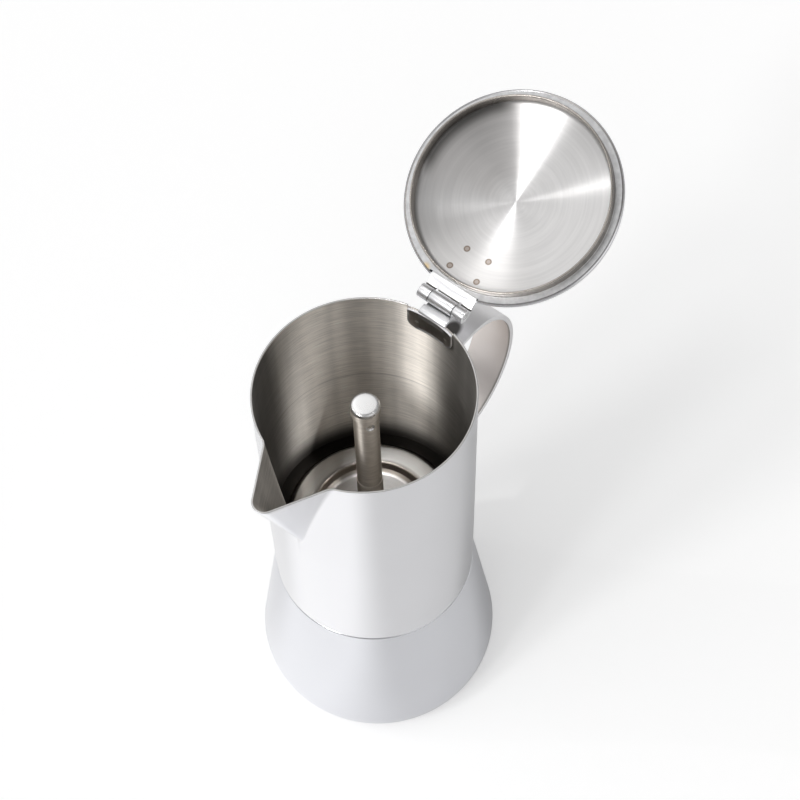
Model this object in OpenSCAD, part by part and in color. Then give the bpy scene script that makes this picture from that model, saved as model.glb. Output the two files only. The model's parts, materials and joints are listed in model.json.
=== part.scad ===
// Stovetop moka pot in pressed stainless steel: a flared boiler, a cylindrical jug with a
// pulled V spout, a double-skinned hinged lid and a loop handle bent from flat band.
// Millimetres, +Z up. The origin is the centre of the underside. The spout points to -X,
// the handle and the lid hinge to +X. The lid is drawn open.

/* [Jug] */
// Outer diameter of the jug
jug_d = 85; // [80:0.5:92]
// Height of the jug wall, from the seam to the rim
jug_h = 131; // [110:1:150]
// Thickness of the jug sheet
jug_wall = 0.8; // [0.6:0.1:1.2]
// Gap of the dark seam between jug and boiler
seam_gap = 0.6; // [0.4:0.1:1.2]
// Depth of the jug, from the rim to the trough of its floor
jug_depth = 104; // [92:1:112]
// Height of the raised ring on the jug floor above its trough
floor_ring_h = 4.7; // [3:0.1:6]

/* [Spout] */
// How far the spout nose stands out from the jug wall
spout_reach = 20; // [14:0.5:24]
// Width of the spout mouth where it leaves the round rim
spout_w = 33; // [26:1:38]
// How far the V of the spout runs down the wall
spout_drop = 56; // [40:1:64]
// Radius of the spout nose seen from above
spout_nose_r = 5; // [3.5:0.5:6.5]

/* [Column] */
// Outer diameter of the coffee column
column_d = 10.6; // [10:0.2:13]
// Wall of the coffee column
column_wall = 1; // [0.8:0.1:1.4]
// How far the top of the column stays below the rim
column_below_rim = 8.6; // [6:0.2:14]
// Height of the cap on the column
cap_h = 6; // [4:0.5:8]
// Diameter of the three coffee outlets under the cap
outlet_d = 3.5; // [3:0.5:6]

/* [Handle] */
// Width of the handle band
handle_w = 18; // [14:1:22]
// Thickness of the handle band
handle_t = 2.2; // [1.6:0.1:3]
// How far the handle stands out from the jug wall
handle_reach = 42.5; // [36:0.5:48]
// Upper root of the handle, measured down from the rim
handle_top_drop = 20; // [14:1:24]
// Height of the handle between its two roots
handle_h = 76; // [70:1:84]

/* [Boiler] */
// Height of the boiler, from the table to the seam
boiler_h = 84; // [76:1:94]
// Largest diameter of the boiler, near its foot
boiler_d = 105.5; // [98:0.5:112]
// Radius of the rounded lower edge of the boiler
boiler_round = 15; // [10:0.5:18]
// Thickness of the boiler sheet
boiler_wall = 1; // [0.8:0.1:1.4]
// Thickness of the sandwich base under the boiler
base_t = 4; // [3:0.2:6]
// Height of the threaded neck, from its root to its edge
neck_h = 20; // [18:0.5:22]

/* [Funnel] */
// Inner diameter of the coffee basket
basket_d = 62; // [56:1:66]
// Inner depth of the coffee basket
basket_depth = 23; // [18:0.5:26]
// Thickness of the funnel sheet
funnel_t = 0.8; // [0.6:0.1:1]
// Inner diameter of the funnel stem
stem_bore = 8.4; // [7:0.2:10]
// Gap under the stem, above the boiler floor
stem_gap = 5; // [3:0.5:8]
// Thickness of the silicone gasket
gasket_t = 3.9; // [3:0.1:5]
// Thickness of the filter plate and the basket screen
filter_t = 0.8; // [0.6:0.1:1]
// Diameter of one filter hole
filter_hole = 1.6; // [1.2:0.1:2]
// Pitch of the rings of filter holes
filter_pitch = 5; // [4:0.5:6]

/* [Lid] */
// How far the lid edge stands out past the jug wall
lid_overhang = 0.4; // [0.2:0.1:1]
// Height of the lid dome above the rim
lid_rise = 10; // [9:0.5:13]
// Height of the outer skirt of the lid
lid_skirt = 2.2; // [1.8:0.1:3]
// How far the plug of the lid reaches into the jug
plug_depth = 4; // [3:0.5:6]
// Thickness of the outer lid skin
lid_t = 0.8; // [0.6:0.1:1]
// Thickness of the turned inner pan
pan_t = 0.6; // [0.5:0.1:0.8]
// Angle by which the lid is drawn open
lid_open = 156; // [0:1:162]

/* [Hinge] */
// Distance of the hinge axis outside the jug wall
hinge_out = 5.8; // [5.4:0.1:8]
// Height of the hinge axis above the rim
hinge_up = 1.7; // [1.5:0.1:2.5]
// Outer diameter of the hinge barrel
barrel_d = 5.6; // [5:0.2:6]
// Length of the middle knuckle
knuckle_l = 11; // [9:0.2:14]
// Length of each outer knuckle
ear_l = 4.8; // [4:0.1:7]
// Diameter of the hinge pin
pin_d = 2.4; // [2:0.1:3]
// Thickness of the lid leaf and of the jug bracket
leaf_t = 1; // [0.8:0.1:1.2]
// Width of the bracket plate inside the jug
bracket_w = 21; // [18:0.5:28]
// How far the bracket plate reaches down inside the jug
bracket_drop = 12; // [9:0.5:16]

/* [Safety valve] */
// Height of the valve above the table
valve_z = 58; // [50:1:62]
// Width across the flats of the valve hexagon
valve_hex = 11; // [10:0.5:14]
// How far the hexagon stands out of the wall
valve_out = 4.5; // [4:0.5:7]
// Diameter of the valve shank through the wall
valve_shank = 8; // [7.5:0.5:9]
// Outward travel of the valve poppet
valve_travel = 1.2; // [0.8:0.1:1.6]

/* [Clearances] */
// Radial clearance between thread collar and boiler neck
thread_gap = 0.3; // [0.2:0.05:0.5]
// Clearance between faces that rest on each other
seat_gap = 0.1; // [0.05:0.05:0.2]
// Radial running clearance of the hinge pin
pin_gap = 0.05; // [0.02:0.01:0.1]
// Gap between neighbouring knuckles
knuckle_gap = 0.3; // [0.2:0.1:0.5]
// Clearance of the filter plate under the jug floor
plate_gap = 0.4; // [0.3:0.05:0.6]
// Clearance of the closed lid over the rim
lid_gap = 0.2; // [0.1:0.1:0.4]

/* [Hidden] */

eps = 0.01;
cut = 1;            // overlap of cutting bodies
round_fn = 144;
small_fn = 48;

jug_r = jug_d / 2;
jug_in = jug_r - jug_wall;
rim_z = boiler_h + jug_h;

// The filter plate, the gasket, the funnel's flange and the neck hang one below the other
// under the floor of the jug.
floor_z = rim_z - jug_depth;          // upper face of the trough
floor_t = jug_wall;
plate_z = floor_z - floor_t - plate_gap - filter_t;
gasket_z = plate_z - gasket_t;
flange_t = 1;
flange_top = gasket_z - seat_gap;
neck_top = flange_top - flange_t;
neck_root = neck_top - neck_h;

boiler_r = boiler_d / 2;
collar_in = jug_in - 1.9;
neck_r = collar_in - thread_gap;
neck_in = neck_r - boiler_wall;
shoulder_round = 1.2;

column_r = column_d / 2;
column_top = rim_z - column_below_rim;
cap_wall = 0.5;
cap_z = column_top - cap_h;
stub_h = 38;

lid_r = jug_r + lid_overhang;
lid_z = rim_z + lid_gap;
lid_top = rim_z + lid_rise;
skirt_top = lid_z + lid_skirt;
plug_r = jug_in - 2.3;
hem_w = 1;

hinge_x = jug_r + hinge_out;
hinge_z = rim_z + hinge_up;
barrel_r = barrel_d / 2;
pin_r = pin_d / 2;
notch_half = bracket_w / 2 + 1;
notch_deep = leaf_t + lid_gap;

// ---- shared geometry --------------------------------------------------------------

// points of an arc about c, from angle a0 to a1
function arc(c, r, a0, a1, n) =
    [for (i = [0:n]) let (a = a0 + (a1 - a0) * i / n) [c[0] + r * cos(a), c[1] + r * sin(a)]];

function reversed(list) = [for (i = [len(list) - 1:-1:0]) list[i]];

// smooth step from 0 to 1 between a and b
function blend(x, a, b) = let (t = min(1, max(0, (x - a) / (b - a)))) t * t * (3 - 2 * t);

// The flank of the boiler is the line from the seam that touches the foot arc.
foot_c = [boiler_r - boiler_round, boiler_round];
flank_d = norm([jug_r, boiler_h] - foot_c);
flank_a = atan2(boiler_h - foot_c[1], jug_r - foot_c[0]) - acos(boiler_round / flank_d);

// radius of the boiler flank at height z, moved inwards by inset
function flank_r(z, inset) =
    foot_c[0] + (boiler_round - inset) * cos(flank_a)
    - (z - foot_c[1] - (boiler_round - inset) * sin(flank_a)) * tan(flank_a);

// foot arc from the flank down to height z
function foot_arc(inset, z, n) =
    arc(foot_c, boiler_round - inset, flank_a, -asin((foot_c[1] - z) / (boiler_round - inset)), n);

// The lid dome is a sphere through the skirt edge and the crown.
dome_rise = lid_top - skirt_top;
dome_r = (lid_r * lid_r + dome_rise * dome_rise) / (2 * dome_rise);
function dome_z(r, below) = lid_top - below - dome_r + sqrt(dome_r * dome_r - r * r);
function dome_line(r0, r1, below, n) =
    [for (i = [0:n]) let (r = r0 + (r1 - r0) * i / n) [r, dome_z(r, below)]];

module revolve(points) rotate_extrude($fn = round_fn) polygon(points);

module tube(r_out, r_in, h, fn = round_fn) difference() {
    cylinder(r = r_out, h = h, $fn = fn);
    translate([0, 0, -cut]) cylinder(r = r_in, h = h + 2 * cut, $fn = fn);
}

// opens what is drawn closed, about the hinge axis
module on_lid()
    translate([hinge_x, 0, hinge_z]) rotate([0, lid_open, 0])
        translate([-hinge_x, 0, -hinge_z]) children();

module along_hinge(r, l)
    translate([hinge_x, l / 2, hinge_z]) rotate([90, 0, 0])
        cylinder(r = r, h = l, $fn = small_fn);

// rings of drilled holes through a disc
module hole_rings(r_max, h) {
    for (ring = [1:floor(r_max / filter_pitch)])
        for (i = [0:6 * ring - 1])
            rotate(360 * i / (6 * ring))
                translate([ring * filter_pitch, 0, -cut])
                    cylinder(d = filter_hole, h = h + 2 * cut, $fn = 16);
}

// ---- boiler -----------------------------------------------------------------------

neck_edge = 0.4;
shoulder_z = boiler_h - shoulder_round;
boiler_side = concat(
    reversed(foot_arc(0, base_t, 20)),
    arc([flank_r(shoulder_z, shoulder_round), shoulder_z], shoulder_round, flank_a, 90, 6),
    [[neck_r, neck_root], [neck_r, neck_top - neck_edge], [neck_r - neck_edge, neck_top]]);

// section through the axis, both sides of it
module boiler_section() polygon(concat(
    boiler_side, reversed([for (p = boiler_side) [-p[0], p[1]]])));

// the same moved in by the wall and open at the neck
module boiler_cavity() intersection() {
    union() {
        offset(delta = -boiler_wall) boiler_section();
        translate([-neck_in, neck_top - neck_h / 2]) square([2 * neck_in, neck_h / 2 + cut]);
    }
    square([boiler_r, neck_top + cut]);
}

// frame of the valve: +Z runs outwards along the normal of the flank, from its outer face
module at_valve()
    translate([0, flank_r(valve_z, 0), valve_z]) rotate([-90 + flank_a, 0, 0]) children();

module boiler_shell() color("gainsboro") difference() {
    revolve(concat([[0, base_t]], boiler_side, [[0, neck_top]]));
    rotate_extrude($fn = round_fn) boiler_cavity();
    at_valve() translate([0, 0, -10]) cylinder(d = valve_shank, h = 20, $fn = small_fn);
}

base_r = foot_c[0] + sqrt(pow(boiler_round, 2) - pow(boiler_round - base_t, 2)) - 2.5;
cap_t = 0.8;
cap_round = 1.6;

module base_core() color("darkgray")
    translate([0, 0, cap_t]) cylinder(r = base_r - cap_round, h = base_t - cap_t, $fn = round_fn);

module base_cap() color("silver") revolve(concat(
    [[0, 0]], arc([base_r - cap_round, cap_round], cap_round, -90, 0, 8),
    [[base_r, base_t], [base_r - cap_round, base_t], [base_r - cap_round, cap_t], [0, cap_t]]));

// ---- safety valve -----------------------------------------------------------------

nut_d = valve_shank + 5;
nut_t = 4;
washer_t = 0.8;
washer_d = valve_hex + 1;
seat_t = 1;                       // wall of the valve seat at the inner end
bore_r = valve_shank / 2 - 1.2;   // spring chamber
seat_r = 1.1;                     // hole that the poppet closes
poppet_r = bore_r - 0.3;
poppet_t = 0.9;
stem_r = 0.7;
ring_t = 0.8;
stem_out = 1.2;                   // free end of the poppet stem outside the ring
// The washer lies on the curved wall: its foot is set to the sagitta of the flank.
washer_z = flank_r(valve_z, 0) - sqrt(pow(flank_r(valve_z, 0), 2) - pow(washer_d / 2, 2));
hex_z = washer_t;
valve_in = -boiler_wall - nut_t;  // inner end of shank and nut
chamber_z = valve_in + seat_t;
ring_z = hex_z + valve_out - ring_t;

// takes the thickness of the boiler wall off a piece that lies inside or outside it
module boiler_solid(inset) revolve(concat(
    [[0, base_t + inset]], reversed(foot_arc(inset, base_t + inset, 20)),
    [[flank_r(boiler_h, inset), boiler_h], [0, boiler_h]]));

module valve_nut() color("lightgray") difference() {
    intersection() {
        at_valve() translate([0, 0, valve_in]) cylinder(d = nut_d, h = nut_t + boiler_wall, $fn = 6);
        boiler_solid(boiler_wall);
    }
    at_valve() translate([0, 0, valve_in - cut])
        cylinder(d = valve_shank, h = nut_t + 4 * cut, $fn = small_fn);
}

module valve_washer() color("firebrick") difference() {
    at_valve() translate([0, 0, -washer_z]) cylinder(d = washer_d, h = washer_t + washer_z, $fn = small_fn);
    boiler_solid(0);
    at_valve() translate([0, 0, -cut - washer_z])
        cylinder(d = valve_shank, h = washer_t + 4 * cut, $fn = small_fn);
}

module valve_body() color("goldenrod") at_valve() difference() {
    union() {
        translate([0, 0, hex_z]) cylinder(d = valve_hex / cos(30), h = valve_out, $fn = 6);
        translate([0, 0, valve_in]) cylinder(d = valve_shank, h = hex_z - valve_in + eps, $fn = small_fn);
    }
    translate([0, 0, chamber_z])
        cylinder(r = bore_r, h = hex_z + valve_out - chamber_z + cut, $fn = small_fn);
    translate([0, 0, valve_in - cut]) cylinder(r = seat_r, h = 2 * cut + seat_t, $fn = small_fn);
}

module valve_ring() color("silver") at_valve() translate([0, 0, ring_z])
    tube(bore_r, stem_r + 0.3, ring_t, small_fn);

module valve_pin() color("gold") at_valve() union() {
    translate([0, 0, chamber_z + seat_gap]) cylinder(r = poppet_r, h = poppet_t, $fn = small_fn);
    translate([0, 0, chamber_z + seat_gap])
        cylinder(r = stem_r, h = ring_z + ring_t + stem_out - chamber_z - seat_gap, $fn = small_fn);
}

// A helix of round wire, swept as one closed solid.
wire_r = 0.22;
spring_turns = 6;
spring_z0 = chamber_z + seat_gap + poppet_t + wire_r + 0.05;
spring_z1 = ring_z - wire_r - 0.05;
spring_r = (stem_r + poppet_r) / 2 + 0.1;
wire_sides = 6;
turn_steps = 14;
module valve_spring() color("dimgray") at_valve() {
    steps = spring_turns * turn_steps;
    rise = (spring_z1 - spring_z0) / steps;
    points = [for (i = [0:steps]) for (k = [0:wire_sides - 1])
        let (a = 360 * i / turn_steps, b = 360 * k / wire_sides, r = spring_r + wire_r * cos(b))
        [r * cos(a), r * sin(a), spring_z0 + rise * i + wire_r * sin(b)]];
    sides = [for (i = [0:steps - 1]) for (k = [0:wire_sides - 1])
        let (a = i * wire_sides + k, b = i * wire_sides + (k + 1) % wire_sides)
        [a, b, b + wire_sides, a + wire_sides]];
    ends = [[for (k = [wire_sides - 1:-1:0]) k],
            [for (k = [0:wire_sides - 1]) steps * wire_sides + k]];
    polyhedron(points = points, faces = concat(sides, ends), convexity = 10);
}

// ---- funnel, gasket and filter ----------------------------------------------------

basket_r = basket_d / 2;
basket_z = flange_top - basket_depth - funnel_t;   // underside of the basket ledge
ledge_in = basket_r - 2.5;
stem_r_in = stem_bore / 2;
stem_r_out = stem_r_in + funnel_t;
cone_h = 14;
stem_z = base_t + boiler_wall + stem_gap;
flange_r = neck_r - 0.2;

module funnel_basket() color("whitesmoke") revolve([
    [ledge_in, basket_z], [basket_r + funnel_t, basket_z],
    [basket_r + funnel_t, neck_top], [flange_r, neck_top], [flange_r, flange_top],
    [basket_r, flange_top], [basket_r, basket_z + funnel_t], [ledge_in, basket_z + funnel_t]]);

module funnel_stem() color("whitesmoke") difference() {
    revolve([
        [stem_r_in, stem_z], [stem_r_out, stem_z], [stem_r_out, basket_z - cone_h],
        [basket_r + funnel_t, basket_z - 2], [basket_r + funnel_t, basket_z],
        [basket_r - funnel_t, basket_z], [basket_r - funnel_t, basket_z - 1.6],
        [stem_r_in, basket_z - cone_h + 0.6]]);
    // two slots at the foot of the stem let the last water in
    for (a = [0, 90]) rotate(a) translate([-stem_r_out - cut, -1, stem_z - cut])
        cube([2 * (stem_r_out + cut), 2, 3 + cut]);
}

module perforated_disc(r) difference() {
    cylinder(r = r, h = filter_t, $fn = round_fn);
    hole_rings(r - 5, filter_t);
}

module funnel_screen() color("silver") translate([0, 0, basket_z + funnel_t])
    perforated_disc(basket_r - seat_gap);

module gasket() color("ivory") {
    out = collar_in - 0.3;
    in = basket_r + 1;
    bevel = 0.4;
    revolve([[in, gasket_z + bevel], [in + bevel, gasket_z], [out - bevel, gasket_z],
             [out, gasket_z + bevel], [out, plate_z - bevel], [out - bevel, plate_z],
             [in + bevel, plate_z], [in, plate_z - bevel]]);
}

module filter_plate() color("silver") translate([0, 0, plate_z])
    perforated_disc(basket_r + 5.5);

// ---- jug --------------------------------------------------------------------------

// The spout is the hull of its nose, its two mouth corners and the foot of its V. The
// inner form uses the same centres with radii smaller by the wall.
corner_r = 2;
lip_h = 1;
spout_y = spout_w / 2 - corner_r;
corner_x = sqrt(pow(jug_r - corner_r, 2) - pow(spout_y, 2));
nose_x = jug_r + spout_reach - spout_nose_r;
foot_x = jug_r - corner_r - 0.2;

module spout_form(inset, over) hull() {
    translate([-nose_x, 0, rim_z - lip_h])
        cylinder(r = spout_nose_r - inset, h = lip_h + over, $fn = 40);
    for (s = [-1, 1]) translate([-corner_x, s * spout_y, rim_z - lip_h])
        cylinder(r = corner_r - inset, h = lip_h + over, $fn = 16);
    translate([-foot_x, 0, rim_z - spout_drop]) sphere(r = corner_r - inset, $fn = 20);
}

module jug_body() color("gainsboro") difference() {
    union() {
        translate([0, 0, boiler_h + seam_gap])
            cylinder(r = jug_r, h = jug_h - seam_gap, $fn = round_fn);
        spout_form(0, 0);
    }
    translate([0, 0, boiler_h]) cylinder(r = jug_in, h = jug_h + cut, $fn = round_fn);
    spout_form(jug_wall, cut);
    // the rim is lowered where the hinge bracket folds over it
    translate([jug_r - 6, -notch_half, rim_z - notch_deep])
        cube([6 + cut, 2 * notch_half, notch_deep + cut]);
}

collar_z = max(neck_root, boiler_h) + seam_gap + 0.8;
module jug_collar() color("silver") translate([0, 0, collar_z])
    tube(jug_in, collar_in, floor_z - floor_t - seat_gap - collar_z);

// height of the floor's upper face at radius r: a trough at the wall, a raised ring, a
// shallow plateau about the column
ring_out = 0.86 * jug_in;
ring_in = 0.60 * jug_in;
plateau_r = 0.52 * jug_in;
ramp_w = 2;
function floor_top(r) = floor_z
    + floor_ring_h * (1 - blend(r, ring_out - ramp_w, ring_out))
    - 0.5 * floor_ring_h * (1 - blend(r, plateau_r, ring_in));
floor_steps = 48;
function floor_line(below) = [for (i = [0:floor_steps])
    let (r = column_r + (jug_in - column_r) * i / floor_steps) [r, floor_top(r) - below]];

module jug_floor() color("darkgray")
    revolve(concat(floor_line(0), reversed(floor_line(floor_t))));

stub_top = floor_z + stub_h;
stub_z = floor_top(column_r) - floor_t;
joint_bevel = 0.25;
module column_stub() color("rosybrown") revolve([
    [column_r - column_wall, stub_z], [column_r, stub_z], [column_r, stub_top - joint_bevel],
    [column_r - joint_bevel, stub_top], [column_r - column_wall, stub_top]]);

module column_tube() color("rosybrown") difference() {
    revolve([
        [column_r - column_wall, stub_top], [column_r - joint_bevel, stub_top],
        [column_r, stub_top + joint_bevel], [column_r, column_top - cap_wall],
        [column_r - column_wall, column_top - cap_wall]]);
    // outlets face the hinge and, on both sides, obliquely forward
    for (a = [0, 120, 240]) rotate(a) translate([0, 0, cap_z - outlet_d / 2 - 1])
        rotate([0, 90, 0]) cylinder(d = outlet_d, h = column_d, $fn = small_fn);
}

cap_edge = 0.6;
module column_cap() color("white") revolve(concat(
    [[column_r, cap_z], [column_r + cap_wall, cap_z]],
    arc([column_r + cap_wall - cap_edge, column_top - cap_edge], cap_edge, 0, 90, 6),
    [[0, column_top], [0, column_top - cap_wall], [column_r, column_top - cap_wall]]));

// ---- handle -----------------------------------------------------------------------

handle_top = rim_z - handle_top_drop;
arm_l = 9;          // straight part of both arms next to the jug
loop_half = handle_reach - arm_l;
root_r = 4;
root_set = 0.5;     // how far the arms at the wall lie inside the oval's height
root_x = jug_r - root_r;

// outline of the loop, half an oval with straight arms, moved inwards by inset
module handle_outline(inset) offset(delta = -inset) hull() {
    translate([jug_r + arm_l, handle_top - handle_h / 2]) scale([2 * loop_half / handle_h, 1])
        circle(d = handle_h, $fn = 120);
    for (s = [-1, 1]) translate([root_x, handle_top - handle_h / 2
        + s * (handle_h / 2 - root_r - root_set)]) circle(r = root_r, $fn = 32);
}

module handle_band() color("silver") difference() {
    translate([0, handle_w / 2, 0]) rotate([90, 0, 0])
        linear_extrude(handle_w) difference() {
            handle_outline(0);
            handle_outline(handle_t);
        }
    cylinder(r = jug_r, h = rim_z, $fn = round_fn);
}

// ---- hinge ------------------------------------------------------------------------

bracket_top = rim_z - notch_deep + leaf_t;
corner = 4.5;
neck_w = knuckle_l + 1.6;

// plate outline seen along X, with rounded lower corners
module bracket_face() {
    h = bracket_drop;
    polygon(concat(
        [[-bracket_w / 2, 0]],
        arc([-bracket_w / 2 + corner, -h + corner], corner, 180, 270, 8),
        arc([bracket_w / 2 - corner, -h + corner], corner, 270, 360, 8),
        [[bracket_w / 2, 0]]));
}

module hinge_bracket() color("lightgray") difference() {
    union() {
        intersection() {
            translate([0, 0, rim_z - bracket_drop - cut]) tube(jug_in, jug_in - leaf_t, bracket_drop + cut);
            translate([0, 0, bracket_top]) rotate([90, 0, 90]) linear_extrude(jug_r) bracket_face();
        }
        // the plate folds over the lowered rim and runs out to the middle knuckle
        translate([jug_in - leaf_t, -neck_w / 2, bracket_top - leaf_t])
            cube([hinge_x - jug_in + leaf_t - 1, neck_w, leaf_t]);
        along_hinge(barrel_r, knuckle_l);
    }
    along_hinge(pin_r, knuckle_l + 2 * cut);
    // the fold keeps clear of the outer knuckles
    for (s = [-1, 1]) translate([hinge_x - barrel_r - 0.6, s > 0 ? knuckle_l / 2 : -neck_w, hinge_z - 2 * barrel_r])
        cube([2 * barrel_r, neck_w - knuckle_l / 2, 4 * barrel_r]);
}

pin_over = 0.2;
module hinge_pin() color("dimgray")
    along_hinge(pin_r, knuckle_l + 2 * (knuckle_gap + ear_l + pin_over));

// ---- lid --------------------------------------------------------------------------

edge_r = 1;
dome_steps = 24;
notch_z = dome_z(lid_r, lid_t);

module notch_cut(x)
    translate([x, -notch_half, lid_z - cut]) cube([lid_r, 2 * notch_half, notch_z - lid_z + cut]);

module lid_shell() color("gainsboro") on_lid() difference() {
    revolve(concat(
        [[lid_r - lid_t, lid_z], [lid_r, lid_z]],
        [[lid_r, skirt_top - edge_r / 2]],
        reversed(dome_line(0, lid_r - edge_r / 2, 0, dome_steps)),
        dome_line(0, lid_r - lid_t, lid_t, dome_steps)));
    notch_cut(plug_r + hem_w / 2);
}

leaf_space = 1.4;
pan_below = lid_t + leaf_space + pan_t;
bend_r = 1.6;
plug_in = plug_r - hem_w;
flange_out = lid_r - lid_t - 0.1;
// The bend between wall and dome is the circle that touches both from below.
bend_x = plug_in - bend_r;
bend_a = acos(bend_x / (dome_r - bend_r));
bend_c = [bend_x, lid_top - pan_below - dome_r + (dome_r - bend_r) * sin(bend_a)];
module lid_pan() color("silver") on_lid() difference() {
    revolve(concat(
        [[flange_out, lid_z + pan_t], [flange_out, lid_z], [plug_r, lid_z]],
        arc([plug_r - hem_w / 2, rim_z - plug_depth], hem_w / 2, 0, -180, 8),
        arc(bend_c, bend_r, 0, bend_a, 8),
        reversed(dome_line(0, bend_x + bend_r * cos(bend_a), pan_below, dome_steps)),
        dome_line(0, bend_x + (bend_r + pan_t) * cos(bend_a), pan_below - pan_t, dome_steps),
        arc(bend_c, bend_r + pan_t, bend_a, 20, 6),
        [[plug_r, lid_z + pan_t]]));
    notch_cut(plug_r + hem_w / 2);
}

leaf_below = lid_t + leaf_space - 0.05;   // underside of the leaf, just clear of the pan
leaf_in = 22;
leaf_half = knuckle_l / 2 + knuckle_gap + ear_l;
fork_x = hinge_x - barrel_r - 0.4;
leaf_flat_z = dome_z(lid_r, leaf_below);

module lid_leaf() color("whitesmoke") on_lid() difference() {
    union() {
        intersection() {
            revolve(concat(
                dome_line(leaf_in / 2, lid_r, leaf_below, dome_steps),
                [[lid_r + 9, leaf_flat_z], [lid_r + 9, leaf_flat_z + leaf_t]],
                reversed(dome_line(leaf_in / 2, lid_r, leaf_below - leaf_t, dome_steps))));
            translate([0, 0, rim_z - 10]) linear_extrude(40) polygon([
                [leaf_in, -leaf_half + 4], [leaf_in + 12, -leaf_half], [hinge_x, -leaf_half],
                [hinge_x, -knuckle_l / 2 - knuckle_gap], [fork_x, -knuckle_l / 2 - knuckle_gap],
                [fork_x, knuckle_l / 2 + knuckle_gap], [hinge_x, knuckle_l / 2 + knuckle_gap],
                [hinge_x, leaf_half], [leaf_in + 12, leaf_half], [leaf_in, leaf_half - 4]]);
        }
        for (s = [-1, 1]) translate([0, s * (knuckle_l / 2 + knuckle_gap + ear_l / 2), 0])
            along_hinge(barrel_r, ear_l);
    }
    along_hinge(pin_r + pin_gap, 2 * leaf_half + 2 * cut);
}

// ---- parts ------------------------------------------------------------------------

boiler_shell();
base_core();
base_cap();
funnel_basket();
funnel_stem();
funnel_screen();
gasket();
filter_plate();
jug_body();
jug_collar();
jug_floor();
column_stub();
column_tube();
column_cap();
handle_band();
hinge_bracket();
hinge_pin();
lid_shell();
lid_pan();
lid_leaf();
valve_nut();
valve_washer();
valve_body();
valve_ring();
valve_pin();
valve_spring();
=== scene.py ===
import json
import math

import bpy
from mathutils import Matrix, Vector


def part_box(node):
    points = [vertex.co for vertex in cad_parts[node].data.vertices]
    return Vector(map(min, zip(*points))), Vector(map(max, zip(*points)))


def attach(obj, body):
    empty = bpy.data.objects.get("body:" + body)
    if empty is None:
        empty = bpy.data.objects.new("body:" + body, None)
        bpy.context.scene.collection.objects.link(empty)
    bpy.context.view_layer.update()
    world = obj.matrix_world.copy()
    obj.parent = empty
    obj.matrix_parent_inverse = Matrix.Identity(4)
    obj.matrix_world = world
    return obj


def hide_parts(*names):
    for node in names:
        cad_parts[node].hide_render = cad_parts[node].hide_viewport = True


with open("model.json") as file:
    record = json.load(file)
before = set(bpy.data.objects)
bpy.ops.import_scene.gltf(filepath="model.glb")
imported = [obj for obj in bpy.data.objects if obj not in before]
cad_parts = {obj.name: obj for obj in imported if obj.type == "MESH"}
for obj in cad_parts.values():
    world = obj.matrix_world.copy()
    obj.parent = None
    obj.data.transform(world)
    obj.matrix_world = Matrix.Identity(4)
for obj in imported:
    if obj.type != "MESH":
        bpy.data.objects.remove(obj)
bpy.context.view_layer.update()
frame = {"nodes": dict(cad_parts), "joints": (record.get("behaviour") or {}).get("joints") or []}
mm = 0.001
print("moka pot: frame loaded")


# modelling helpers

def deselectAll():
    if bpy.context.object and bpy.context.object.mode != "OBJECT":
        bpy.ops.object.mode_set(mode="OBJECT")
    bpy.ops.object.select_all(action="DESELECT")


def editMesh(selectMode="VERT"):
    bpy.ops.object.mode_set(mode="EDIT")
    bpy.ops.mesh.select_mode(type=selectMode)


def objectMode():
    bpy.ops.object.mode_set(mode="OBJECT")


def selectAll():
    bpy.ops.mesh.select_all(action="SELECT")


# turns every face outwards and leaves edit mode
def closeMesh():
    selectAll()
    bpy.ops.mesh.normals_make_consistent(inside=False)
    objectMode()


def applyPlace():
    bpy.ops.object.transform_apply(location=True, rotation=True, scale=True)


def activate(piece):
    deselectAll()
    piece.select_set(True)
    bpy.context.view_layer.objects.active = piece
    return piece


def named(name):
    piece = bpy.context.object
    piece.name = name
    piece.data.name = name
    return piece


def applyModifier(piece, kind, **settings):
    activate(piece)
    modifier = piece.modifiers.new(kind.title(), kind)
    for key, value in settings.items():
        setattr(modifier, key, value)
    bpy.ops.object.modifier_apply(modifier=modifier.name)


def smooth(piece, degrees=35):
    activate(piece)
    bpy.ops.object.shade_smooth_by_angle(angle=math.radians(degrees))


def remove(piece):
    bpy.data.objects.remove(piece, do_unlink=True)


def arc(centre, radius, startAngle, endAngle, steps):
    turns = [math.radians(startAngle + (endAngle - startAngle) * i / steps) for i in range(steps + 1)]
    return [(centre[0] + radius * math.cos(a), centre[1] + radius * math.sin(a)) for a in turns]


# rounds the corners of a line: each corner is (r, z) or (r, z, radius)
def rounded(corners, steps=6):
    line = [corners[0][:2]]
    for before, corner, after in zip(corners, corners[1:], corners[2:]):
        if len(corner) < 3:
            line.append(corner)
            continue
        here = Vector(corner[:2])
        back = (Vector(before[:2]) - here).normalized()
        ahead = (Vector(after[:2]) - here).normalized()
        half = back.angle(ahead) / 2
        middle = here + (back + ahead).normalized() * corner[2] / math.sin(half)
        start = here + back * corner[2] / math.tan(half) - middle
        end = here + ahead * corner[2] / math.tan(half) - middle
        turn = start.angle_signed(end)
        for i in range(steps + 1):
            line.append(tuple(middle + Matrix.Rotation(-turn * i / steps, 2) @ start))
    line.append(corners[-1][:2])
    return line


# a line of edges through points, drawn from one vertex
def drawLine(name, points):
    deselectAll()
    bpy.ops.mesh.primitive_plane_add(size=mm, location=(0, 0, 0))
    piece = named(name)
    editMesh()
    selectAll()
    bpy.ops.mesh.merge(type="CENTER")
    bpy.ops.transform.translate(value=points[0])
    for last, point in zip(points, points[1:]):
        step = Vector(point) - Vector(last)
        bpy.ops.mesh.extrude_region_move(TRANSFORM_OT_translate={"value": step})
    return piece


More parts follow.
